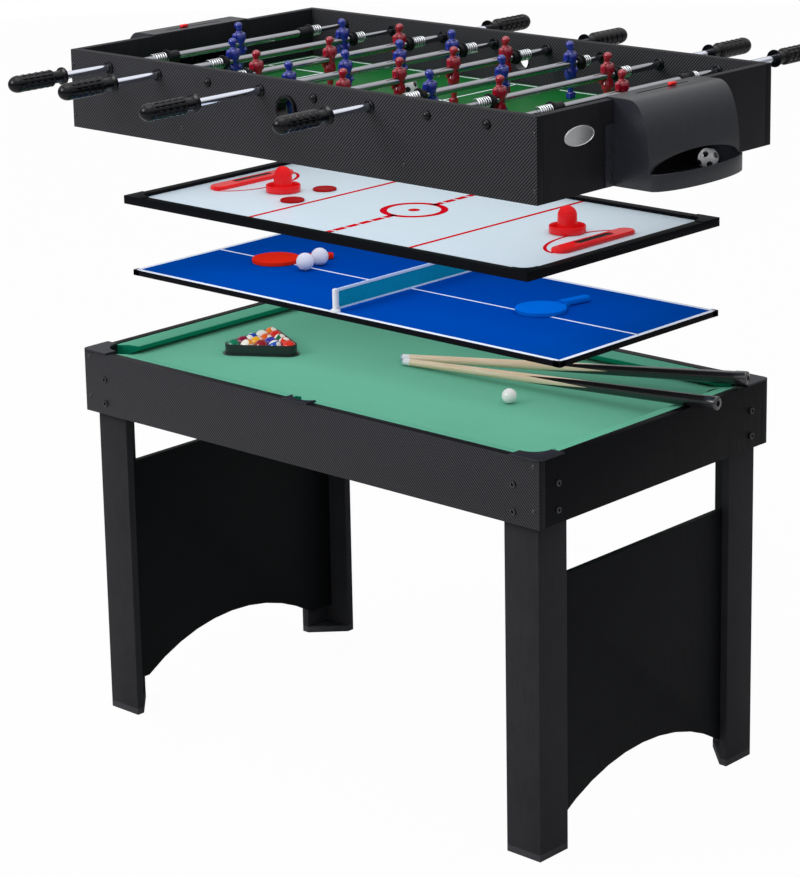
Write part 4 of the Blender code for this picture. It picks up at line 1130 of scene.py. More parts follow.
def makeTennisBoard():
    top = table["tennisTop"]
    rise, line, edge = tennis["lineRise"], tennis["line"], tennis["edge"]
    halfX = tennis["length"] / 2
    halfY = tennis["width"] / 2
    dressNode("tennis_board", "tennis_top", "tennis_blue", edgeBlack, 0.0006, 2, 20)
    shape = bmesh.new()
    face = roundedOutline(halfX - edge, halfY - edge, 0.002, 2)
    addPlate(shape, face, top - tennis["faceSink"], top + rise * 0.4)
    finishPiece("tennis_face", shape, tennisBlue, "tennis_top", "tennis_blue")
    shape = bmesh.new()
    border = roundedOutline(halfX - edge - line / 2, halfY - edge - line / 2, 0.001, 1)
    addStrip(shape, border, line, top, top + rise, closed=True)
    middle = line * tennis["middleLine"]
    addStrip(shape, [(-halfX + line, 0), (halfX - line, 0)], middle, top, top + rise)
    finishPiece("tennis_lines", shape, lineWhite, "tennis_top", "tennis_blue")
    # small moulded protectors on the four corners
    shape = bmesh.new()
    reach, wall = tennis["cornerReach"], tennis["cornerWall"]
    outline = [(halfX, halfY), (halfX - reach, halfY), (halfX - reach, halfY - wall)]
    outline += arcPoints((halfX - reach * 0.62, halfY - reach * 0.62), reach * 0.46, 90, 0, 5)
    outline += [(halfX - wall, halfY - reach), (halfX, halfY - reach)]
    low = top - tennis["thickness"]
    for sideX in (-1, 1):
        for sideY in (-1, 1):
            addPlate(shape, outline, low + 0.0002, top + 0.0005, Matrix.Diagonal((sideX, sideY, 1, 1)))
    finishPiece("tennis_corners", shape, edgeBlack, "tennis_top", "black_plastic")


def makeNet():
    base = table["tennisTop"] + gap
    top = base + tennis["netHeight"]
    end = tennis["postY"] - tennis["netInset"]
    low = base + tennis["netFoot"]
    high = top - tennis["netDrop"]
    half, tape, hem = tennis["netHalf"], tennis["tapeHalf"], tennis["hemHalf"]
    # the net is cut to reach from post to post
    shape = bmesh.new()
    addBox(shape, (-half, -end, low), (half, end, high))
    net = finishPiece("net_mesh", shape, netGreen, "net", "net_teal", "tennis_net")
    shape = bmesh.new()
    addBox(shape, (-tape, -end, top - 0.0052), (tape, end, top - 0.0004))
    addBox(shape, (-hem, -end, low - 0.0008), (hem, end, low + 0.0024))
    for side in (-1, 1):
        inner, outer = sorted((side * (end - 0.0035), side * end))
        addBox(shape, (-hem, inner, low), (hem, outer, high))
    faceOut(shape)
    soften(shape, 0.0003)
    tapes = finishPiece("net_tapes", shape, tapeWhite, "net", "net_teal", "tennis_net")
    shape = bmesh.new()
    for side in (-1, 1):
        addTurned(shape, [
            (0, top), (0.0036, top), (0.0046, top - 0.001), (0.0048, top - 0.004),
            (0.0048, base + 0.005), (0.0060, base + 0.0042), (0.0080, base + 0.0038),
            (0.0085, base + 0.0030), (0.0085, base), (0, base),
        ], Matrix.Translation((0, side * tennis["postY"], 0)), 32)
        inner, outer = sorted((side * (tennis["postY"] - 0.0075), side * tennis["postY"]))
        for height in (top - 0.0060, base + 0.0065):
            addBox(shape, (-0.0022, inner, height), (0.0022, outer, height + 0.0030))
    posts = finishPiece("net_posts", shape, postWhite, "net", "net_teal", "tennis_net")


def makeBat(colour, finish):
    x, y, turn = tennis["bats"][colour]
    base = table["tennisTop"] + gap
    place = Matrix.Translation((x, y, base)) @ Matrix.Rotation(radians(turn), 4, "Z")
    radius, half = tennis["bladeRadius"], tennis["shoulderHalf"]
    halfWide, halfDeep = tennis["handleHalf"]
    opening = degrees(asin(half / radius))
    outline = arcPoints((0, 0), radius, opening, 360 - opening, 72)
    # the blade runs into the handle in two hollow curves
    start = outline[-1][0]
    for index in range(1, 9):
        share = index / 8
        across = half - (half - halfWide) * sin(share * pi / 2)
        outline.append((start + tennis["shoulderLength"] * share, -across))
    outline += [(u, -v) for u, v in outline[-1:-9:-1]]
    shape = bmesh.new()
    addPlate(shape, outline, 0, tennis["bladeThickness"], place)
    faceOut(shape)
    soften(shape, tennis["bladeRound"], 3)
    handle = bmesh.new()
    rings = []
    for index in range(13):
        share = index / 12
        along = radius + 0.001 + (tennis["handleLength"] - 0.001) * share
        last = index == 12
        swell = 1 - 0.10 * sin(pi * share) - (0.16 if last else 0.0)
        section = roundedOutline(halfWide * swell, halfDeep * (0.86 if last else 1), 0.0040, 4)
        rings.append(addRow(handle, [(along, u, v + halfDeep) for u, v in section]))
    addLoft(handle, rings)
    bmesh.ops.transform(handle, matrix=place, verts=handle.verts)
    shape.from_mesh(toMesh(handle, "bat_handle"))
    node = "bat_" + colour
    finishPiece(node + "_moulded", shape, finish, colour + "_bat", node, node, limit=45)


def makeTennis():
    makeTennisBoard()
    makeNet()
    makeBat("red", batRed)
    makeBat("blue", batBlue)
    shape = bmesh.new()
    radius = tennis["ballRadius"]
    for x, y in tennis["balls"]:
        addBall(shape, (x, y, table["tennisTop"] + gap + radius), radius, 28)
    finishPiece("tennis_balls", shape, ballWhite, "tennis_top", "white_ball", limit=60)


makeTennis()
print("stage: table tennis top made")

# Air hockey top

hockey = {
    "length": 0.940,
    "width": 0.505,
    "frame": 0.019,
    "iceDepth": 0.004,
    "line": 0.0080,
    "centreLine": 0.0125,
    "lineInset": 0.0004,
    "dashes": 15,
    "dashGap": 0.0025,
    "dashOverlap": 0.006,
    "creaseLine": 0.75,  # share of the other lines' width
    "lineRise": 0.0002,
    "circle": 0.0535,
    "dot": 0.0105,
    "lineX": 0.187,
    "goalX": 0.425 * 0.940,
    "goalLength": 0.200,
    "goalWidth": 0.034,
    "goalHeight": 0.0078,
    "slotLength": 0.094,
    "slotWidth": 0.0150,
    "shoulder": 0.0018,
    "slotRim": 0.0022,
    "crease": (0.062, 0.101),
    "pucks": ((-0.240, 0.025), (-0.220, -0.078)),
    "puckRadius": 0.0215,
    "strikers": {"left": (-0.309 * 0.940, -0.059 * 0.505), "right": (0.340 * 0.940, 0.059 * 0.505)},
    "knobRadius": 0.0165,
    "knobHeight": 0.0295,
    # radius and height of the striker's outline below its knob
    "strikerSkirt": (
        (0.0167, 0.0240), (0.0169, 0.0160), (0.0172, 0.0090), (0.0180, 0.0052), (0.0198, 0.0036),
        (0.0262, 0.0030), (0.0280, 0.0040), (0.0288, 0.0080), (0.0292, 0.0122), (0.0300, 0.0130),
        (0.0308, 0.0127), (0.0314, 0.0118), (0.0315, 0.0090), (0.0315, 0.0020), (0.0308, 0.0004),
        (0.0298, 0), (0, 0),
    ),
}


def makeHockeyBoard():
    top = table["iceTop"]
    high = top + hockey["lineRise"]
    halfX = hockey["length"] / 2 - hockey["frame"] / 2 - gap
    halfY = hockey["width"] / 2 - hockey["frame"] / 2 - gap
    shape = bmesh.new()
    addPlate(shape, roundedOutline(halfX, halfY, 0.001, 1), top - hockey["iceDepth"], top)
    finishPiece("hockey_ice", shape, iceWhite, "hockey_top", "ice_white", "hockey_board")
    line, centreLine, circle = hockey["line"], hockey["centreLine"], hockey["circle"]
    count, space = hockey["dashes"], hockey["dashGap"]
    inner = hockey["width"] / 2 - hockey["frame"] - hockey["lineInset"]
    shape = bmesh.new()
    for x in (-hockey["lineX"], hockey["lineX"]):
        addStrip(shape, [(x, -inner), (x, inner)], line, top, high)
    for index in range(count):
        start = -inner + 2 * inner * index / count
        stop = start + 2 * inner / count
        if abs(start + inner / count) >= circle - hockey["dashOverlap"]:
            addStrip(shape, [(0, start + space), (0, stop - space)], centreLine, top, high)
    addStrip(shape, arcPoints((0, 0), circle, 0, 357, 96), centreLine, top, high, closed=True)
    addPlate(shape, arcPoints((0, 0), hockey["dot"], 0, 350, 35), top, high)
    ahead, half = hockey["crease"]
    for side in (-1, 1):
        arc = [
            (side * (hockey["goalX"] - ahead * v), half * u)
            for u, v in arcPoints((0, 0), 1.0, 3, 177, 48)
        ]
        addStrip(shape, arc, line * hockey["creaseLine"], top, high)
    finishPiece("hockey_lines", shape, lineRed, "hockey_top", "game_red")


def stadium(centreX, halfLong, radius):
    outline = arcPoints((centreX, halfLong - radius), radius, 0, 180, 16)
    return outline + arcPoints((centreX, -halfLong + radius), radius, 180, 360, 16)


def makeGoals():
    top = table["iceTop"]
    high = top + hockey["goalHeight"]
    halfLong, radius = hockey["goalLength"] / 2, hockey["goalWidth"] / 2
    slotLong, slotRadius = hockey["slotLength"] / 2, hockey["slotWidth"] / 2
    shoulder, rim = hockey["shoulder"], hockey["slotRim"]
    shape = bmesh.new()
    dark = bmesh.new()
    for side in (-1, 1):
        x = side * hockey["goalX"]
        outer = stadium(x, halfLong, radius)
        rounded = stadium(x, halfLong - shoulder, radius - shoulder)
        slotOut = stadium(x, slotLong + rim, slotRadius + rim)
        slotIn = stadium(x, slotLong, slotRadius)
        addLoft(shape, [addLevel(shape, outline, height) for outline, height in (
            (outer, top), (outer, high - 0.0030), (rounded, high - 0.0012), (slotOut, high - 0.0004),
            (slotOut, high), (slotIn, high), (slotIn, top + 0.0025), (slotIn, top + 0.0002),
        )], closed=True)
        addPlate(dark, slotIn, top + 0.0003, high - 0.0009)
    finishPiece("hockey_goals", shape, gameRed, "hockey_top", "game_red", limit=30)
    finishPiece("hockey_goal_slots", dark, slotBlack, "hockey_top", "black_plastic")


def makeStriker(side):
    knob = hockey["knobRadius"]
    profile = dome(knob, knob, hockey["knobHeight"], (15, 30, 45, 60, 75, 90))
    place = Matrix.Translation((*hockey["strikers"][side], table["iceTop"] + gap))
    shape = bmesh.new()
    addTurned(shape, [*profile, *hockey["strikerSkirt"]], place, 64)
    node = "striker_" + side
    finishPiece(node + "_turned", shape, gameRed, side + "_striker", "game_red", node, limit=40)


def makeHockey():
    dressNode("hockey_frame", "hockey_top", "black_plastic", edgeBlack, 0.0007)
    makeHockeyBoard()
    makeGoals()
    for side in hockey["strikers"]:
        makeStriker(side)
    radius = hockey["puckRadius"]
    shape = bmesh.new()
    for spot in hockey["pucks"]:
        addTurned(shape, [
            (0, 0.0034), (radius * 0.72, 0.0034), (radius * 0.76, 0.0036), (radius * 0.95, 0.0036),
            (radius, 0.0030), (radius, 0.0006), (radius * 0.97, 0), (0, 0),
        ], Matrix.Translation((*spot, table["iceTop"] + hockey["lineRise"])), 56)
    finishPiece("hockey_pucks", shape, puckRed, "hockey_top", "game_red")


makeHockey()
print("stage: air hockey top made")

# Table football cabinet

cabinet = {
    "chuteHeight": 1.192,
    "chuteRadius": 0.0185,
    "chuteRim": 0.004,
    "chuteProud": 0.006,
    "flangeRadius": 0.0108,
    "flangeThickness": 0.0035,
    "bushBore": 0.0073,
    "bushNeck": 0.0085,
    "capRadius": 0.0078,
    "capRise": 0.0075,
    "fieldLine": 0.0040,
    "fieldMargin": 0.012,
    "centreCircle": 0.078,
    "kickOffSpot": 0.006,
    "areas": ((0.145, 0.155), (0.062, 0.100)),
    "arcRadius": 0.045,
    "arcTurn": 62,
    "lineRise": 0.00025,
    "badgeY": -0.204,
    "badgeHeight": 1.194,
    "badgeHalf": (0.0365, 0.0160),
    "footballRadius": 0.017,
    "footballs": ((0.580, 0.070, 1.1203), (-0.070, 0.066, 1.1673)),
    # place along the table and height of each screw on the long walls
    "screws": (
        (-0.255, 1.130), (0.259, 1.130),
        (-0.530, 1.212), (-0.530, 1.122), (0.530, 1.212), (0.530, 1.122),
    ),
    "screwSize": 0.9,
    "edgeRound": 0.0009,
}
rodRows = (
    # players, side of the handle, share of the shift along the rod, turn of the grip
    (1, -1, 0.4, 125), (2, -1, 0.5, 230), (3, 1, -0.3, 200), (4, -1, -1.0, 125),
    (4, 1, -1.0, 60), (3, -1, 0.7, 20), (2, 1, 0.3, 120), (1, 1, 1.0, 250),
)


def rodX(index):
    return (index - 3.5) * table["rodPitch"]


def makeLongWall(node, side):
    low, high = sorted((side * halfWidth, side * innerWidth))
    shape = bmesh.new()
    addBox(shape, (-halfLength, low, table["cabinetFloor"]), (halfLength, high, table["cabinetTop"]))
    faceOut(shape)
    soften(shape, cabinet["edgeRound"])
    piece = fromShape(node + "_board", shape, cabinetFoil)
    hole = bmesh.new()
    radius, centre = cabinet["chuteRadius"], cabinet["chuteHeight"]
    place = Matrix.Translation((0, 0, centre)) @ facingFront
    addTurned(hole, [(0, -0.4), (radius, -0.4), (radius, 0.4), (0, 0.4)], place, 64)
    carve(piece, hole)
    settle(reshape(piece, cabinetFoil), "football_table", "carbon_board", node)
    # a moulded ring lines the hole where the ball is dropped in
    shape = bmesh.new()
    inner = radius - 0.0008
    outer = radius + cabinet["chuteRim"]
    ends = halfWidth + cabinet["chuteProud"]
    loops = []
    for radius, depth in (
        (inner, innerWidth - 0.001), (inner, ends - 0.001), (inner + 0.0012, ends),
        (outer - 0.0012, ends), (outer, ends - 0.0012), (outer, halfWidth - 0.0005),
        (inner + 0.0014, halfWidth - 0.0005), (inner + 0.0014, innerWidth - 0.001),
    ):
        loops.append(addRow(shape, [
            (radius * cos(angle), side * depth, centre + radius * sin(angle)) for angle in roundTurn(64)
        ]))
    addLoft(shape, loops, closed=True)
    finishPiece(node + "_chute", shape, gripPlastic, "football_table", "black_plastic", node)


def bushShape(through):
    # flange outside, the wall's thickness, flange inside; its +Z faces out of the table
    shape = bmesh.new()
    flange, thick, wall = cabinet["flangeRadius"], cabinet["flangeThickness"], table["board"]
    bore, neck, cap = cabinet["bushBore"], cabinet["bushNeck"], cabinet["capRadius"]
    if through:
        rings = addTurned(shape, [
            (bore, thick - 0.0002), (bore + 0.0010, thick), (flange - 0.0012, thick),
            (flange, thick - 0.0014), (flange, 0), (neck, -0.0002), (neck, -wall), (flange, -wall),
            (flange, -wall - thick + 0.0014), (flange - 0.0012, -wall - thick), (bore, -wall - thick),
        ], identity, 40)
        addBand(shape, rings[-1], rings[0])
        return shape
    addTurned(shape, dome(cap, cabinet["capRise"], 0, (20, 40, 60, 75, 90)) + [
        (cap, -wall), (flange, -wall), (flange, -wall - thick + 0.0012),
        (flange - 0.0012, -wall - thick), (0.0053, -wall - thick), (0.0050, -wall - 0.001),
        (0, -wall - 0.001),
    ], identity, 40)
    return shape


def makeBushes():
    for name, through in (("rod_bushes", True), ("rod_caps", False)):
        spots = []
        for index, row in enumerate(rodRows):
            side = row[1] if through else -row[1]
            spots.append(((rodX(index), side * halfWidth, table["rodHeight"]), (0, side, 0)))
        fasten(name, gripPlastic, bushShape(through), spots, 1.0, "football_table")


def makeFieldLines():
    top = table["fieldTop"]
    high = top + cabinet["lineRise"]
    line = cabinet["fieldLine"]
    halfX = innerLength - cabinet["fieldMargin"]
    halfY = innerWidth - cabinet["fieldMargin"]
    shape = bmesh.new()
    corners = [(halfX, halfY), (-halfX, halfY), (-halfX, -halfY), (halfX, -halfY)]
    addStrip(shape, corners, line, top, high, True)
    addStrip(shape, [(0, -halfY), (0, halfY)], line, top, high)
    addStrip(shape, arcPoints((0, 0), cabinet["centreCircle"], 0, 356, 90), line, top, high, True)
    addPlate(shape, arcPoints((0, 0), cabinet["kickOffSpot"], 0, 345, 23), top, high)
    for side in (-1, 1):
        goal = side * halfX
        for depth, half in cabinet["areas"]:
            inner = side * (halfX - depth)
            area = [(goal, half), (inner, half), (inner, -half), (goal, -half)]
            addStrip(shape, area, line, top, high)
        turn = 180 if side > 0 else 0
        centre = (side * (halfX - cabinet["areas"][0][0]), 0)
        start, stop = turn - cabinet["arcTurn"], turn + cabinet["arcTurn"]
        addStrip(shape, arcPoints(centre, cabinet["arcRadius"], start, stop, 28), line, top, high)
    finishPiece("field_lines", shape, lineWhite, "football_table", "field_green")


def makeFootballFinish():
    # white with black spots laid out like the dark patches of a leather ball
    finish = Finish("footballPrint", Specular_IOR_Level=0.5, Coat_Weight=0.3)
    local = finish.attribute("ballPlace")
    golden = (1 + sqrt(5)) / 2
    masks = []
    for a, b in ((1, golden), (1, -golden)):
        for way in ((0, a, b), (a, b, 0), (b, 0, a)):
            masks.append(abs(finish.dot(local, Vector(way).normalized())) > 0.955)
    spots = masks[0]
    for mask in masks[1:]:
        spots = spots.larger(mask)
    finish.look({
        "Base Color": finish.mix(spots, srgb(248, 248, 252), srgb(30, 30, 34)),
        "Roughness": finish.spread(finish.noise(80), 0.3, 0.7, 0.12, 0.22),
    })
    return finish


def makeFootballs():
    shape = bmesh.new()
    layer = shape.verts.layers.float_vector.new("ballPlace")
    radius = cabinet["footballRadius"]
    for number, spot in enumerate(cabinet["footballs"]):
        centre = Vector(spot)
        turn = Matrix.Rotation(0.7 + number, 3, "X") @ Matrix.Rotation(0.4 + number, 3, "Z")
        for ring in addBall(shape, centre, radius, 28):
            for vert in ring:
                vert[layer] = turn @ ((vert.co - centre) / radius)
    finishPiece("footballs", shape, makeFootballFinish(), "football_table", "white_ball", limit=60)


def makeBadge():
    # a bare oval plate with a raised rim
    halfY, halfZ = cabinet["badgeHalf"]
    shape = bmesh.new()
    rings = []
    for share, rise in (
        (1.0, 0.0), (1.0, 0.0014), (0.97, 0.0020), (0.93, 0.0020), (0.90, 0.0014), (0.5, 0.0015),
        (0.02, 0.0016),
    ):
        inset = (1 - share) * halfZ
        squeeze = share if share < 0.6 else 1
        rings.append(addRow(shape, [(
            halfLength + rise,
            cabinet["badgeY"] + (halfY - inset) * cos(angle) * squeeze,
            cabinet["badgeHeight"] + (halfZ - inset) * sin(angle),
        ) for angle in roundTurn(64)]))
    addLoft(shape, rings)
    finishPiece("badge_plate", shape, badgeSilver, "football_table", "chrome", limit=30)


def makeCabinet():
    makeLongWall("football_wall_front", -1)
    makeLongWall("football_wall_back", 1)
    for node in ("football_wall_left", "football_wall_right"):
        dressNode(node, "football_table", "black_board", endFoil)
    makeBushes()
    paintNode("football_field", fieldGreen)
    makeFieldLines()
    makeFootballs()
    makeBadge()
    screws = wallSpots(cabinet["screws"])
    fasten("cabinet_screws", screwBlack, screwShape(), screws, cabinet["screwSize"], "football_table")


makeCabinet()
print("stage: football cabinet made")

# Ball boxes: the moulded goal hood and return tray on each end

box = {
    "halfWidth": 0.118,
    "endRound": 0.0035,
    "wall": 0.0025,
    "ledge": 0.028,
    "depth": 0.072,
    "bulge": 0.032,
    "trayHeight": 0.027,
    "archHalf": 0.113,
    "archRise": 0.024,
    "archDepth": (0.04, 0.10),
    "earWidth": 0.022,
    "earHeight": 0.100,
    "earScrews": (0.018, 0.058),
    "screwSize": 0.8,
    "edgeRound": 0.0007,
    "slotLength": 0.136,
    "slotWidth": 0.004,
    "slotX": 0.00585,
}


def hoodOutline(wall):
    bottom = table["cabinetFloor"] + wall
    rim = table["cabinetFloor"] + box["trayHeight"]
    top = table["cabinetTop"] + gap + box["wall"] - wall
    depth = box["depth"] - wall
    ledge = box["ledge"] - wall
    outline = [(gap - wall, bottom), (depth, bottom), (depth, rim)]
    for index in range(1, 25):
        angle = pi / 2 * index / 24
        swell = cos(angle) ** 0.85
        outline.append((ledge + (depth - ledge) * swell, rim + (top - rim) * sin(angle)))
    return outline, top


def trayOutline(wall):
    half = box["halfWidth"] - wall
    depth = box["depth"] - wall
    outline = [(gap - wall, -half)]
    for index in range(37):
        angle = pi * index / 36
        outline.append((depth + box["bulge"] * sin(angle), -half * cos(angle)))
    return outline + [(gap - wall, half)]


def makeBallBox(node, side):
    # drawn for the right end with X outwards from the wall, and turned round for the left
    half, wall, slotX = box["halfWidth"], box["wall"], box["slotX"]
    floor = table["cabinetFloor"]
    rim = floor + box["trayHeight"]
    board, lid = -table["board"], table["cabinetTop"] + gap
    outline, top = hoodOutline(0)
    shape = bmesh.new()
    addPlate(shape, outline + [(board, top), (board, lid), (gap, lid)], -half, half, facingFront)
    faceOut(shape)
    ends = [
        edge for edge in shape.edges
        if all(abs(abs(vert.co.y) - half) < 0.0001 and vert.co.x > gap for vert in edge.verts)
        and abs(edge.verts[0].co.y - edge.verts[1].co.y) < 0.0001
        and max(vert.co.z for vert in edge.verts) > rim
    ]
    soften(shape, box["endRound"], 4, edges=ends)
    piece = fromShape(node + "_moulding", shape, mouldedBlack)
    shape = bmesh.new()
    addPlate(shape, trayOutline(0), floor, rim)
    carve(piece, shape, "UNION")
    earFoot = floor + 0.001
    for end in (-1, 1):
        low, high = sorted((end * (half - 0.001), end * (half + box["earWidth"])))
        shape = bmesh.new()
        addBox(shape, (gap, low, earFoot), (gap + wall, high, earFoot + box["earHeight"]))
        carve(piece, shape, "UNION")
    # the hollow of the hood, the tray, the arched mouth to the field and the marker's slot
    inner, innerTop = hoodOutline(wall)
    shape = bmesh.new()
    addPlate(shape, inner + [(gap - wall, innerTop)], -half + wall, half - wall, facingFront)
    carve(piece, shape)
    shape = bmesh.new()
    addPlate(shape, trayOutline(wall), floor + wall, rim + 0.0004)
    carve(piece, shape)
    arch = []
    for index in range(33):
        angle = pi * index / 32
        arch.append((box["archHalf"] * cos(angle), rim + box["archRise"] * sin(angle)))
    shape = bmesh.new()
    addPlate(shape, arch, *box["archDepth"], facingRight)
    carve(piece, shape)
    shape = bmesh.new()
    halfSlot, halfLong = box["slotWidth"] / 2, box["slotLength"] / 2
    low = (slotX - halfSlot, -halfLong, top - 2 * wall)
    addBox(shape, low, (slotX + halfSlot, halfLong, top + 0.004))
    carve(piece, shape)
    piece = reshape(piece, mouldedBlack, box["edgeRound"], 35, 30)
    turn = identity if side > 0 else Matrix.Rotation(pi, 4, "Z")
    piece.data.transform(turn @ Matrix.Translation((halfLength, 0, 0)))
    settle(piece, "football_table", "black_plastic", node)
    screws = []
    for end in (-1, 1):
        for rise in box["earScrews"]:
            spot = Vector((halfLength + gap + wall, end * (half + box["earWidth"] * 0.5), floor + rise))
            screws.append((turn @ spot, (side, 0, 0)))
    fasten(node + "_screws", screwBlack, screwShape(), screws, box["screwSize"], "football_table")


makeBallBox("ball_box_left", -1)
makeBallBox("ball_box_right", 1)
for end in ("left", "right"):
    dressNode("score_marker_" + end, end + "_marker", "game_red", gameRed, 0.0004)
print("stage: ball boxes made")

# Springs, wound by rule

springTree = GeometryTree("windSpring", {
    "Carrier": "NodeSocketGeometry", "Turns": "NodeSocketFloat", "Length": "NodeSocketFloat",
    "Radius": "NodeSocketFloat", "Wire": "NodeSocketFloat",
})
coil = springTree.node("GeometryNodeCurveSpiral", {}, {
    "Resolution": 28, "Rotations": springTree.given("Turns"), "Height": springTree.given("Length"),
    "Start Radius": springTree.given("Radius"), "End Radius": springTree.given("Radius"),
})
section = springTree.node("GeometryNodeCurvePrimitiveCircle", {}, {
    "Resolution": 8, "Radius": springTree.given("Wire"),
})
springTree.close(springTree.node("GeometryNodeCurveToMesh", {}, {
    "Curve": coil, "Profile Curve": section, "Fill Caps": True,
}))

# Players, one figure for all rods

man = {
    "halfWidth": 0.0150,
    "voxel": 0.00048,
    "keep": 0.16,
    # height, half width along the rod, half depth and roundness of each section, from the ankles up
    "body": (
        (-0.0500, 0.0046, 0.0043, 2.2), (-0.0440, 0.0053, 0.0048, 2.2), (-0.0350, 0.0070, 0.0058, 2.3),
        (-0.0290, 0.0074, 0.0060, 2.3), (-0.0240, 0.0080, 0.0064, 2.4), (-0.0232, 0.0106, 0.0082, 2.5),
        (-0.0150, 0.0110, 0.0090, 2.6), (-0.0085, 0.0088, 0.0084, 2.5), (-0.0040, 0.0078, 0.0086, 2.5),
        (0.0020, 0.0082, 0.0091, 2.6), (0.0085, 0.0100, 0.0098, 2.7), (0.0140, 0.0108, 0.0096, 2.7),
        (0.0180, 0.0104, 0.0082, 2.5), (0.0205, 0.0078, 0.0062, 2.2), (0.0222, 0.0044, 0.0044, 2.0),
    ),
    # height, way ahead, way aside, half depth, half width of each section, from the shoulder down
    "arm": (
        (0.0208, -0.0002, 0.0086, 0.0020, 0.0020), (0.0200, -0.0002, 0.0096, 0.0038, 0.0034),
        (0.0175, 0.0, 0.0107, 0.0052, 0.0042), (0.0120, -0.0004, 0.0111, 0.0054, 0.0039),
        (0.0070, -0.0008, 0.0112, 0.0053, 0.0038), (0.0062, -0.0008, 0.0116, 0.0040, 0.0029),
        (0.0000, -0.0006, 0.0119, 0.0038, 0.0028), (-0.0040, 0.0010, 0.0118, 0.0037, 0.0027),
        (-0.0080, 0.0030, 0.0113, 0.0033, 0.0026), (-0.0110, 0.0044, 0.0108, 0.0036, 0.0031),
        (-0.0136, 0.0050, 0.0104, 0.0026, 0.0022),
    ),
    # radius and height of the collar and the neck
    "collar": ((0, 0.0208), (0.0062, 0.0210), (0.0066, 0.0221), (0.0058, 0.0231), (0, 0.0233)),
    "neck": ((0, 0.018), (0.0044, 0.018), (0.0039, 0.027), (0, 0.027)),
    # centre and half sizes of the head, jaw, hair, nose and ears
    "head": (
        ((0.0002, 0.0312, 0), (0.0064, 0.0090, 0.0060)),
        ((0.0018, 0.0262, 0), (0.0044, 0.0036, 0.0042)),
        ((-0.0010, 0.0336, 0), (0.0078, 0.0068, 0.0074)),
        ((0.0064, 0.0298, 0), (0.0013, 0.0018, 0.0011)),
        ((-0.0002, 0.0300, 0.0062), (0.0016, 0.0024, 0.0010)),
        ((-0.0002, 0.0300, -0.0062), (0.0016, 0.0024, 0.0010)),
    ),
    # height of each section of the foot block, and its share of the block's outline
    "foot": ((-0.0605, 0.90), (-0.0598, 1.0), (-0.0508, 1.0), (-0.0496, 0.85)),
    "footHalf": (0.0052, 0.0075),
    "footRound": 0.0014,
    "footAhead": 0.0008,
    "screwPlace": (0.0093, -0.0006),  # way ahead and height
    "screwSize": 0.62,
}
rod = {
    "tubeRadius": 0.0065,
    "tubeBore": 0.0051,
    "innerRadius": 0.0044,
    "overhang": 0.236,
    "innerInset": 0.020,
    "innerReach": 0.0075 * 0.35,
    "gripLength": 0.118,
    "gripRadius": 0.0148,
    "gripNeck": 0.024,
    "gripRows": 150,
    "gripSides": 120,
    "gripBlocks": 5,
    "gripMargins": (0.004, 0.019),
    "slitDepth": 0.0024,
    "stepDepth": 0.0023,
    "seamDepth": 0.0022,
    "ramp": 0.0016,
    "collarRadius": 0.0155,
    "collarLength": 0.0034,
    "neckRadius": 0.0105,
    "discRadius": 0.0135,
    "discThickness": 0.003,
    "sleeveRadius": 0.0098,
    "sleeve": 0.009,
    "keeperSleeve": 0.024,
    "springPitch": 0.0058,
    "springShut": 0.0135,
    "springFree": 0.034,
    "springRadius": 0.0088,
    "springWire": 0.0009,
    "springKeep": 0.33,
    "spacings": {1: 0.0, 2: 0.479 * 0.58, 3: 0.312 * 0.58, 4: 0.2362 * 0.58},
    "keeperBumper": 0.267 * 0.58,
    "restShift": 0.1035 * 0.29,
}


def superOval(halfX, halfY, power, count=28):
    outline = []
    for angle in roundTurn(count):
        c, s = cos(angle), sin(angle)
        outline.append((
            halfX * copysign(abs(c) ** (2 / power), c), halfY * copysign(abs(s) ** (2 / power), s),
        ))
    return outline


def makeManMesh():
    # a plain figure: X is where it looks, Y is up, Z runs along the rod
    shape = bmesh.new()
    addLoft(shape, [
        addRow(shape, [(u, height, v) for u, v in superOval(deep, wide, power)])
        for height, wide, deep, power in man["body"]
    ])
    for side in (-1, 1):
        rings = []
        for height, ahead, aside, deep, wide in man["arm"]:
            section = superOval(deep, wide, 2.2, 20)
            rings.append(addRow(shape, [(ahead + u, height, side * aside + v) for u, v in section]))
        addLoft(shape, rings)
    upright = Matrix.Rotation(-pi / 2, 4, "X")
    addTurned(shape, man["collar"], upright, 28)
    addTurned(shape, man["neck"], upright, 24)
    for centre, size in man["head"]:
        for ring in addBall(shape, (0, 0, 0), 1.0, 12):
            for vert in ring:
                vert.co = vert.co * Vector(size) + Vector(centre)
    outline = roundedOutline(*man["footHalf"], man["footRound"], 3)
    addLoft(shape, [
        addRow(shape, [(man["footAhead"] + u * share, height, v * share) for u, v in outline])
        for height, share in man["foot"]
    ])
    piece = fromShape("manModel", shape, playerBlue)
    melt = piece.modifiers.new("melt", "REMESH")
    melt.mode = "VOXEL"
    melt.voxel_size = man["voxel"]
    ease = piece.modifiers.new("ease", "SMOOTH")
    ease.factor = 0.5
    ease.iterations = 1
    thin = piece.modifiers.new("thin", "DECIMATE")
    thin.ratio = man["keep"]
    bake(piece)
    # the rod's bore stays open: the tube fills it, and the thin rod passes inside the tube
    mesh = piece.data
    shape = bmesh.new()
    shape.from_mesh(mesh)
    bore = rod["tubeRadius"] - 0.0009
    inside = [vert for vert in shape.verts if hypot(vert.co.x, vert.co.y) < bore]
    bmesh.ops.delete(shape, geom=inside, context="VERTS")
    shape.to_mesh(mesh)
    shape.free()
    dropPiece(piece)
    return mesh


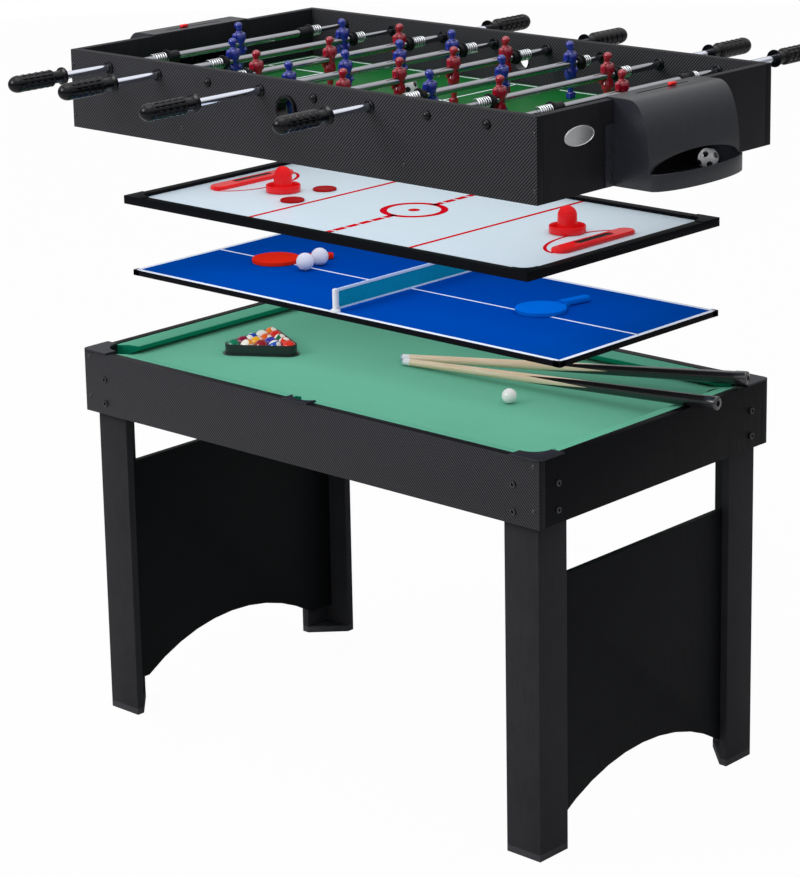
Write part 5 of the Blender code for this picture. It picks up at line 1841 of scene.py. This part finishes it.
def rodFrame(index, shift):
    # local Z points to the handle, Y up and X where the team plays to
    toward = Vector((0, rodRows[index][1], 0))
    up = Vector((0, 0, 1))
    turn = Matrix((up.cross(toward), up, toward)).transposed().to_4x4()
    return Matrix.Translation((rodX(index), shift, table["rodHeight"])) @ turn


def gripRadius(along):
    # the outline of the grip from its collar at the rod to its round nose
    body, collar = rod["gripNeck"], rod["collarLength"]
    if along < collar:
        return rod["collarRadius"] - 0.0006 * abs(along / collar - 0.5)
    if along < body:
        return rod["neckRadius"] + 0.0040 * max(0.0, 1 - (along - collar) / 0.003) ** 2
    share = (along - body) / (rod["gripLength"] - body)
    nose = max(0.0, (share - 0.79) / 0.21)
    swell = rod["gripRadius"] * sqrt(max(0.0, 1 - nose ** 2.3))
    return swell * min(1.0, 0.76 + 5.5 * share)


def gripCut(share, angle):
    # broad blocks with slits between them on one side, and rows of small stepped blocks on the other
    step = (share * rod["gripBlocks"]) % 1
    if angle < 150:
        middle = abs(angle - 75) / 75
        slit = min(1.0, max(0.0, 1.6 - abs(step - 0.5 - 0.14 * (middle - 0.5)) * 17))
        depth = rod["slitDepth"] * slit * min(1.0, max(0.0, middle * 3.2 - 0.35))
        return max(depth, rod["seamDepth"] * max(0.0, (middle - 0.92) / 0.08))
    row = (angle - 150) / 30
    edge = abs((row % 1) - 0.5) * 2
    offset = (step + 0.5 + 0.12 * int(row)) % 1
    ramp = rod["ramp"] * max(0.0, offset - 0.2)
    slit = rod["stepDepth"] * min(1.0, max(0.0, 1.4 - offset * 11))
    seam = rod["seamDepth"] * min(1.0, max(0.0, (edge - 0.66) / 0.2))
    return max(ramp, slit, seam)


def addGrip(shape, start, place, turn):
    length, sides = rod["gripLength"], rod["gripSides"]
    low = rod["gripNeck"] + rod["gripMargins"][0]
    high = length - rod["gripMargins"][1]
    rings = []
    for row in range(rod["gripRows"] + 1):
        along = length * row / rod["gripRows"]
        radius = gripRadius(along)
        points = []
        for index in range(sides):
            angle = 360 * index / sides
            depth = 0.0
            if low < along < high:
                share = (along - low) / (high - low)
                depth = gripCut(share, angle) * min(1.0, share * 16, (1 - share) * 16)
            reach = max(radius - depth, 0.0)
            turned = radians(angle + turn)
            points.append((reach * cos(turned), reach * sin(turned), start + along))
        rings.append(addRow(shape, points, place))
    addLoft(shape, rings)


def addBumper(shape, low, sleeve, outward, place):
    disc, core, bore = rod["discRadius"], rod["sleeveRadius"], rod["tubeRadius"]
    end = sleeve + rod["discThickness"]
    rows = [
        (bore, 0.0), (core - 0.0006, 0.0), (core, 0.0006), (core, sleeve - 0.0006),
        (core + 0.0008, sleeve), (disc - 0.0008, sleeve), (disc, sleeve + 0.0008),
        (disc, end - 0.0008), (disc - 0.0008, end), (bore, end),
    ]
    addTurned(shape, [(radius, outward * (low + height)) for radius, height in rows], place, 40)


def makeSprings(number, place, discEnd, shift):
    # one on each bumper: it gives way as the rod slides to that side, down to what its bush leaves
    shut, wire, keep = rod["springShut"], rod["springWire"], rod["springKeep"]
    bushFace = innerWidth - cabinet["flangeThickness"] - 0.0005
    room = {outward: bushFace - discEnd - outward * shift for outward in (-1, 1)}
    travel = {outward: space - shut for outward, space in room.items()}
    longest = max(travel.values())
    for outward, name in ((-1, "inner"), (1, "handle")):
        left = 1 - (1 - keep) * travel[outward] / longest
        length = min(rod["springFree"], room[outward] - 0.001, shut / left - 0.0002)
        carrier = newPiece("spring_carrier", bpy.data.meshes.new("spring_carrier"))
        mesh = springTree.run("spring", carrier, {
            "Turns": length / rod["springPitch"], "Length": length - 2 * wire,
            "Radius": rod["springRadius"], "Wire": wire, "Finish": springSteel.material,
        })
        start = Matrix.Translation((0, 0, outward * (discEnd + wire)))
        turn = identity if outward > 0 else Matrix.Rotation(pi, 4, "X")
        shape = bmesh.new()
        addMesh(shape, mesh, place @ start @ turn)
        piece = finishPiece(
            "player_rod_%d_%s_spring" % (number, name), shape, springSteel,
            "rod_%d" % number, "chrome", "player_rod_%d" % number, limit=60,
        )
        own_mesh(piece)


def makeRod(index, manMesh):
    players, side, share, gripTurn = rodRows[index]
    number = index + 1
    node = "player_rod_%d" % number
    body = "rod_%d" % number
    shift = share * rod["restShift"]
    place = rodFrame(index, shift)
    spots = [(step - (players - 1) / 2) * rod["spacings"][players] for step in range(players)]
    bumper, sleeve = spots[-1] + man["halfWidth"] + 0.001, rod["sleeve"]
    if players == 1:
        bumper, sleeve = rod["keeperBumper"], rod["keeperSleeve"]
    discEnd = bumper + sleeve + rod["discThickness"]
    gripStart = halfWidth + rod["overhang"] - rod["gripLength"]
    radius, bore = rod["tubeRadius"], rod["tubeBore"]
    shape = bmesh.new()
    addTurned(shape, [
        (bore, -discEnd + 0.06), (bore, -discEnd - 0.001), (radius - 0.0004, -discEnd - 0.001),
        (radius, -discEnd - 0.0006), (radius, gripStart + 0.001), (bore, gripStart + 0.001),
    ], place, 32)
    finishPiece(node + "_tube", shape, chromeTube, body, "chrome", node, limit=40)
    shape = bmesh.new()
    for outward in (-1, 1):
        addBumper(shape, bumper, sleeve, outward, place)
    finishPiece(node + "_bumpers", shape, rubberBlack, body, "black_plastic", node, limit=40)
    shape = bmesh.new()
    addGrip(shape, gripStart, place, gripTurn)
    finishPiece(node + "_grip", shape, gripPlastic, body, "black_plastic", node, limit=50)
    shape = bmesh.new()
    for spot in spots:
        addMesh(shape, manMesh, place @ Matrix.Translation((0, 0, spot)))
    finish, slotName = (playerBlue, "bat_blue") if side < 0 else (playerRed, "game_red")
    finishPiece(node + "_players", shape, finish, body, slotName, node, limit=70)
    ahead = (place.to_3x3() @ Vector((1, 0, 0))).normalized()
    out, height = man["screwPlace"]
    screws = [
        (place @ Vector((way * out, height, spot)), way * ahead) for spot in spots for way in (-1, 1)
    ]
    fasten(node + "_screws", screwBlack, screwShape(), screws, man["screwSize"], body, node)
    makeSprings(number, place, discEnd, side * shift)
    # the thin inner rod turns with the tube and stays in its bush
    shape = bmesh.new()
    far = halfWidth + rod["innerReach"] - gap
    near, thin = rod["innerInset"], rod["innerRadius"]
    addTurned(shape, [
        (0, -near), (thin - 0.0004, -near), (thin, -near - 0.0004), (thin, -far), (0, -far),
    ], rodFrame(index, 0), 28)
    inner = "inner_rod_%d" % number
    finishPiece(inner + "_bar", shape, chromeTube, "spin_%d" % number, "chrome", inner, limit=40)


manMesh = makeManMesh()
print("stage: player figure has", len(manMesh.polygons), "faces")
for index in range(len(rodRows)):
    makeRod(index, manMesh)
print("stage: player rods made")
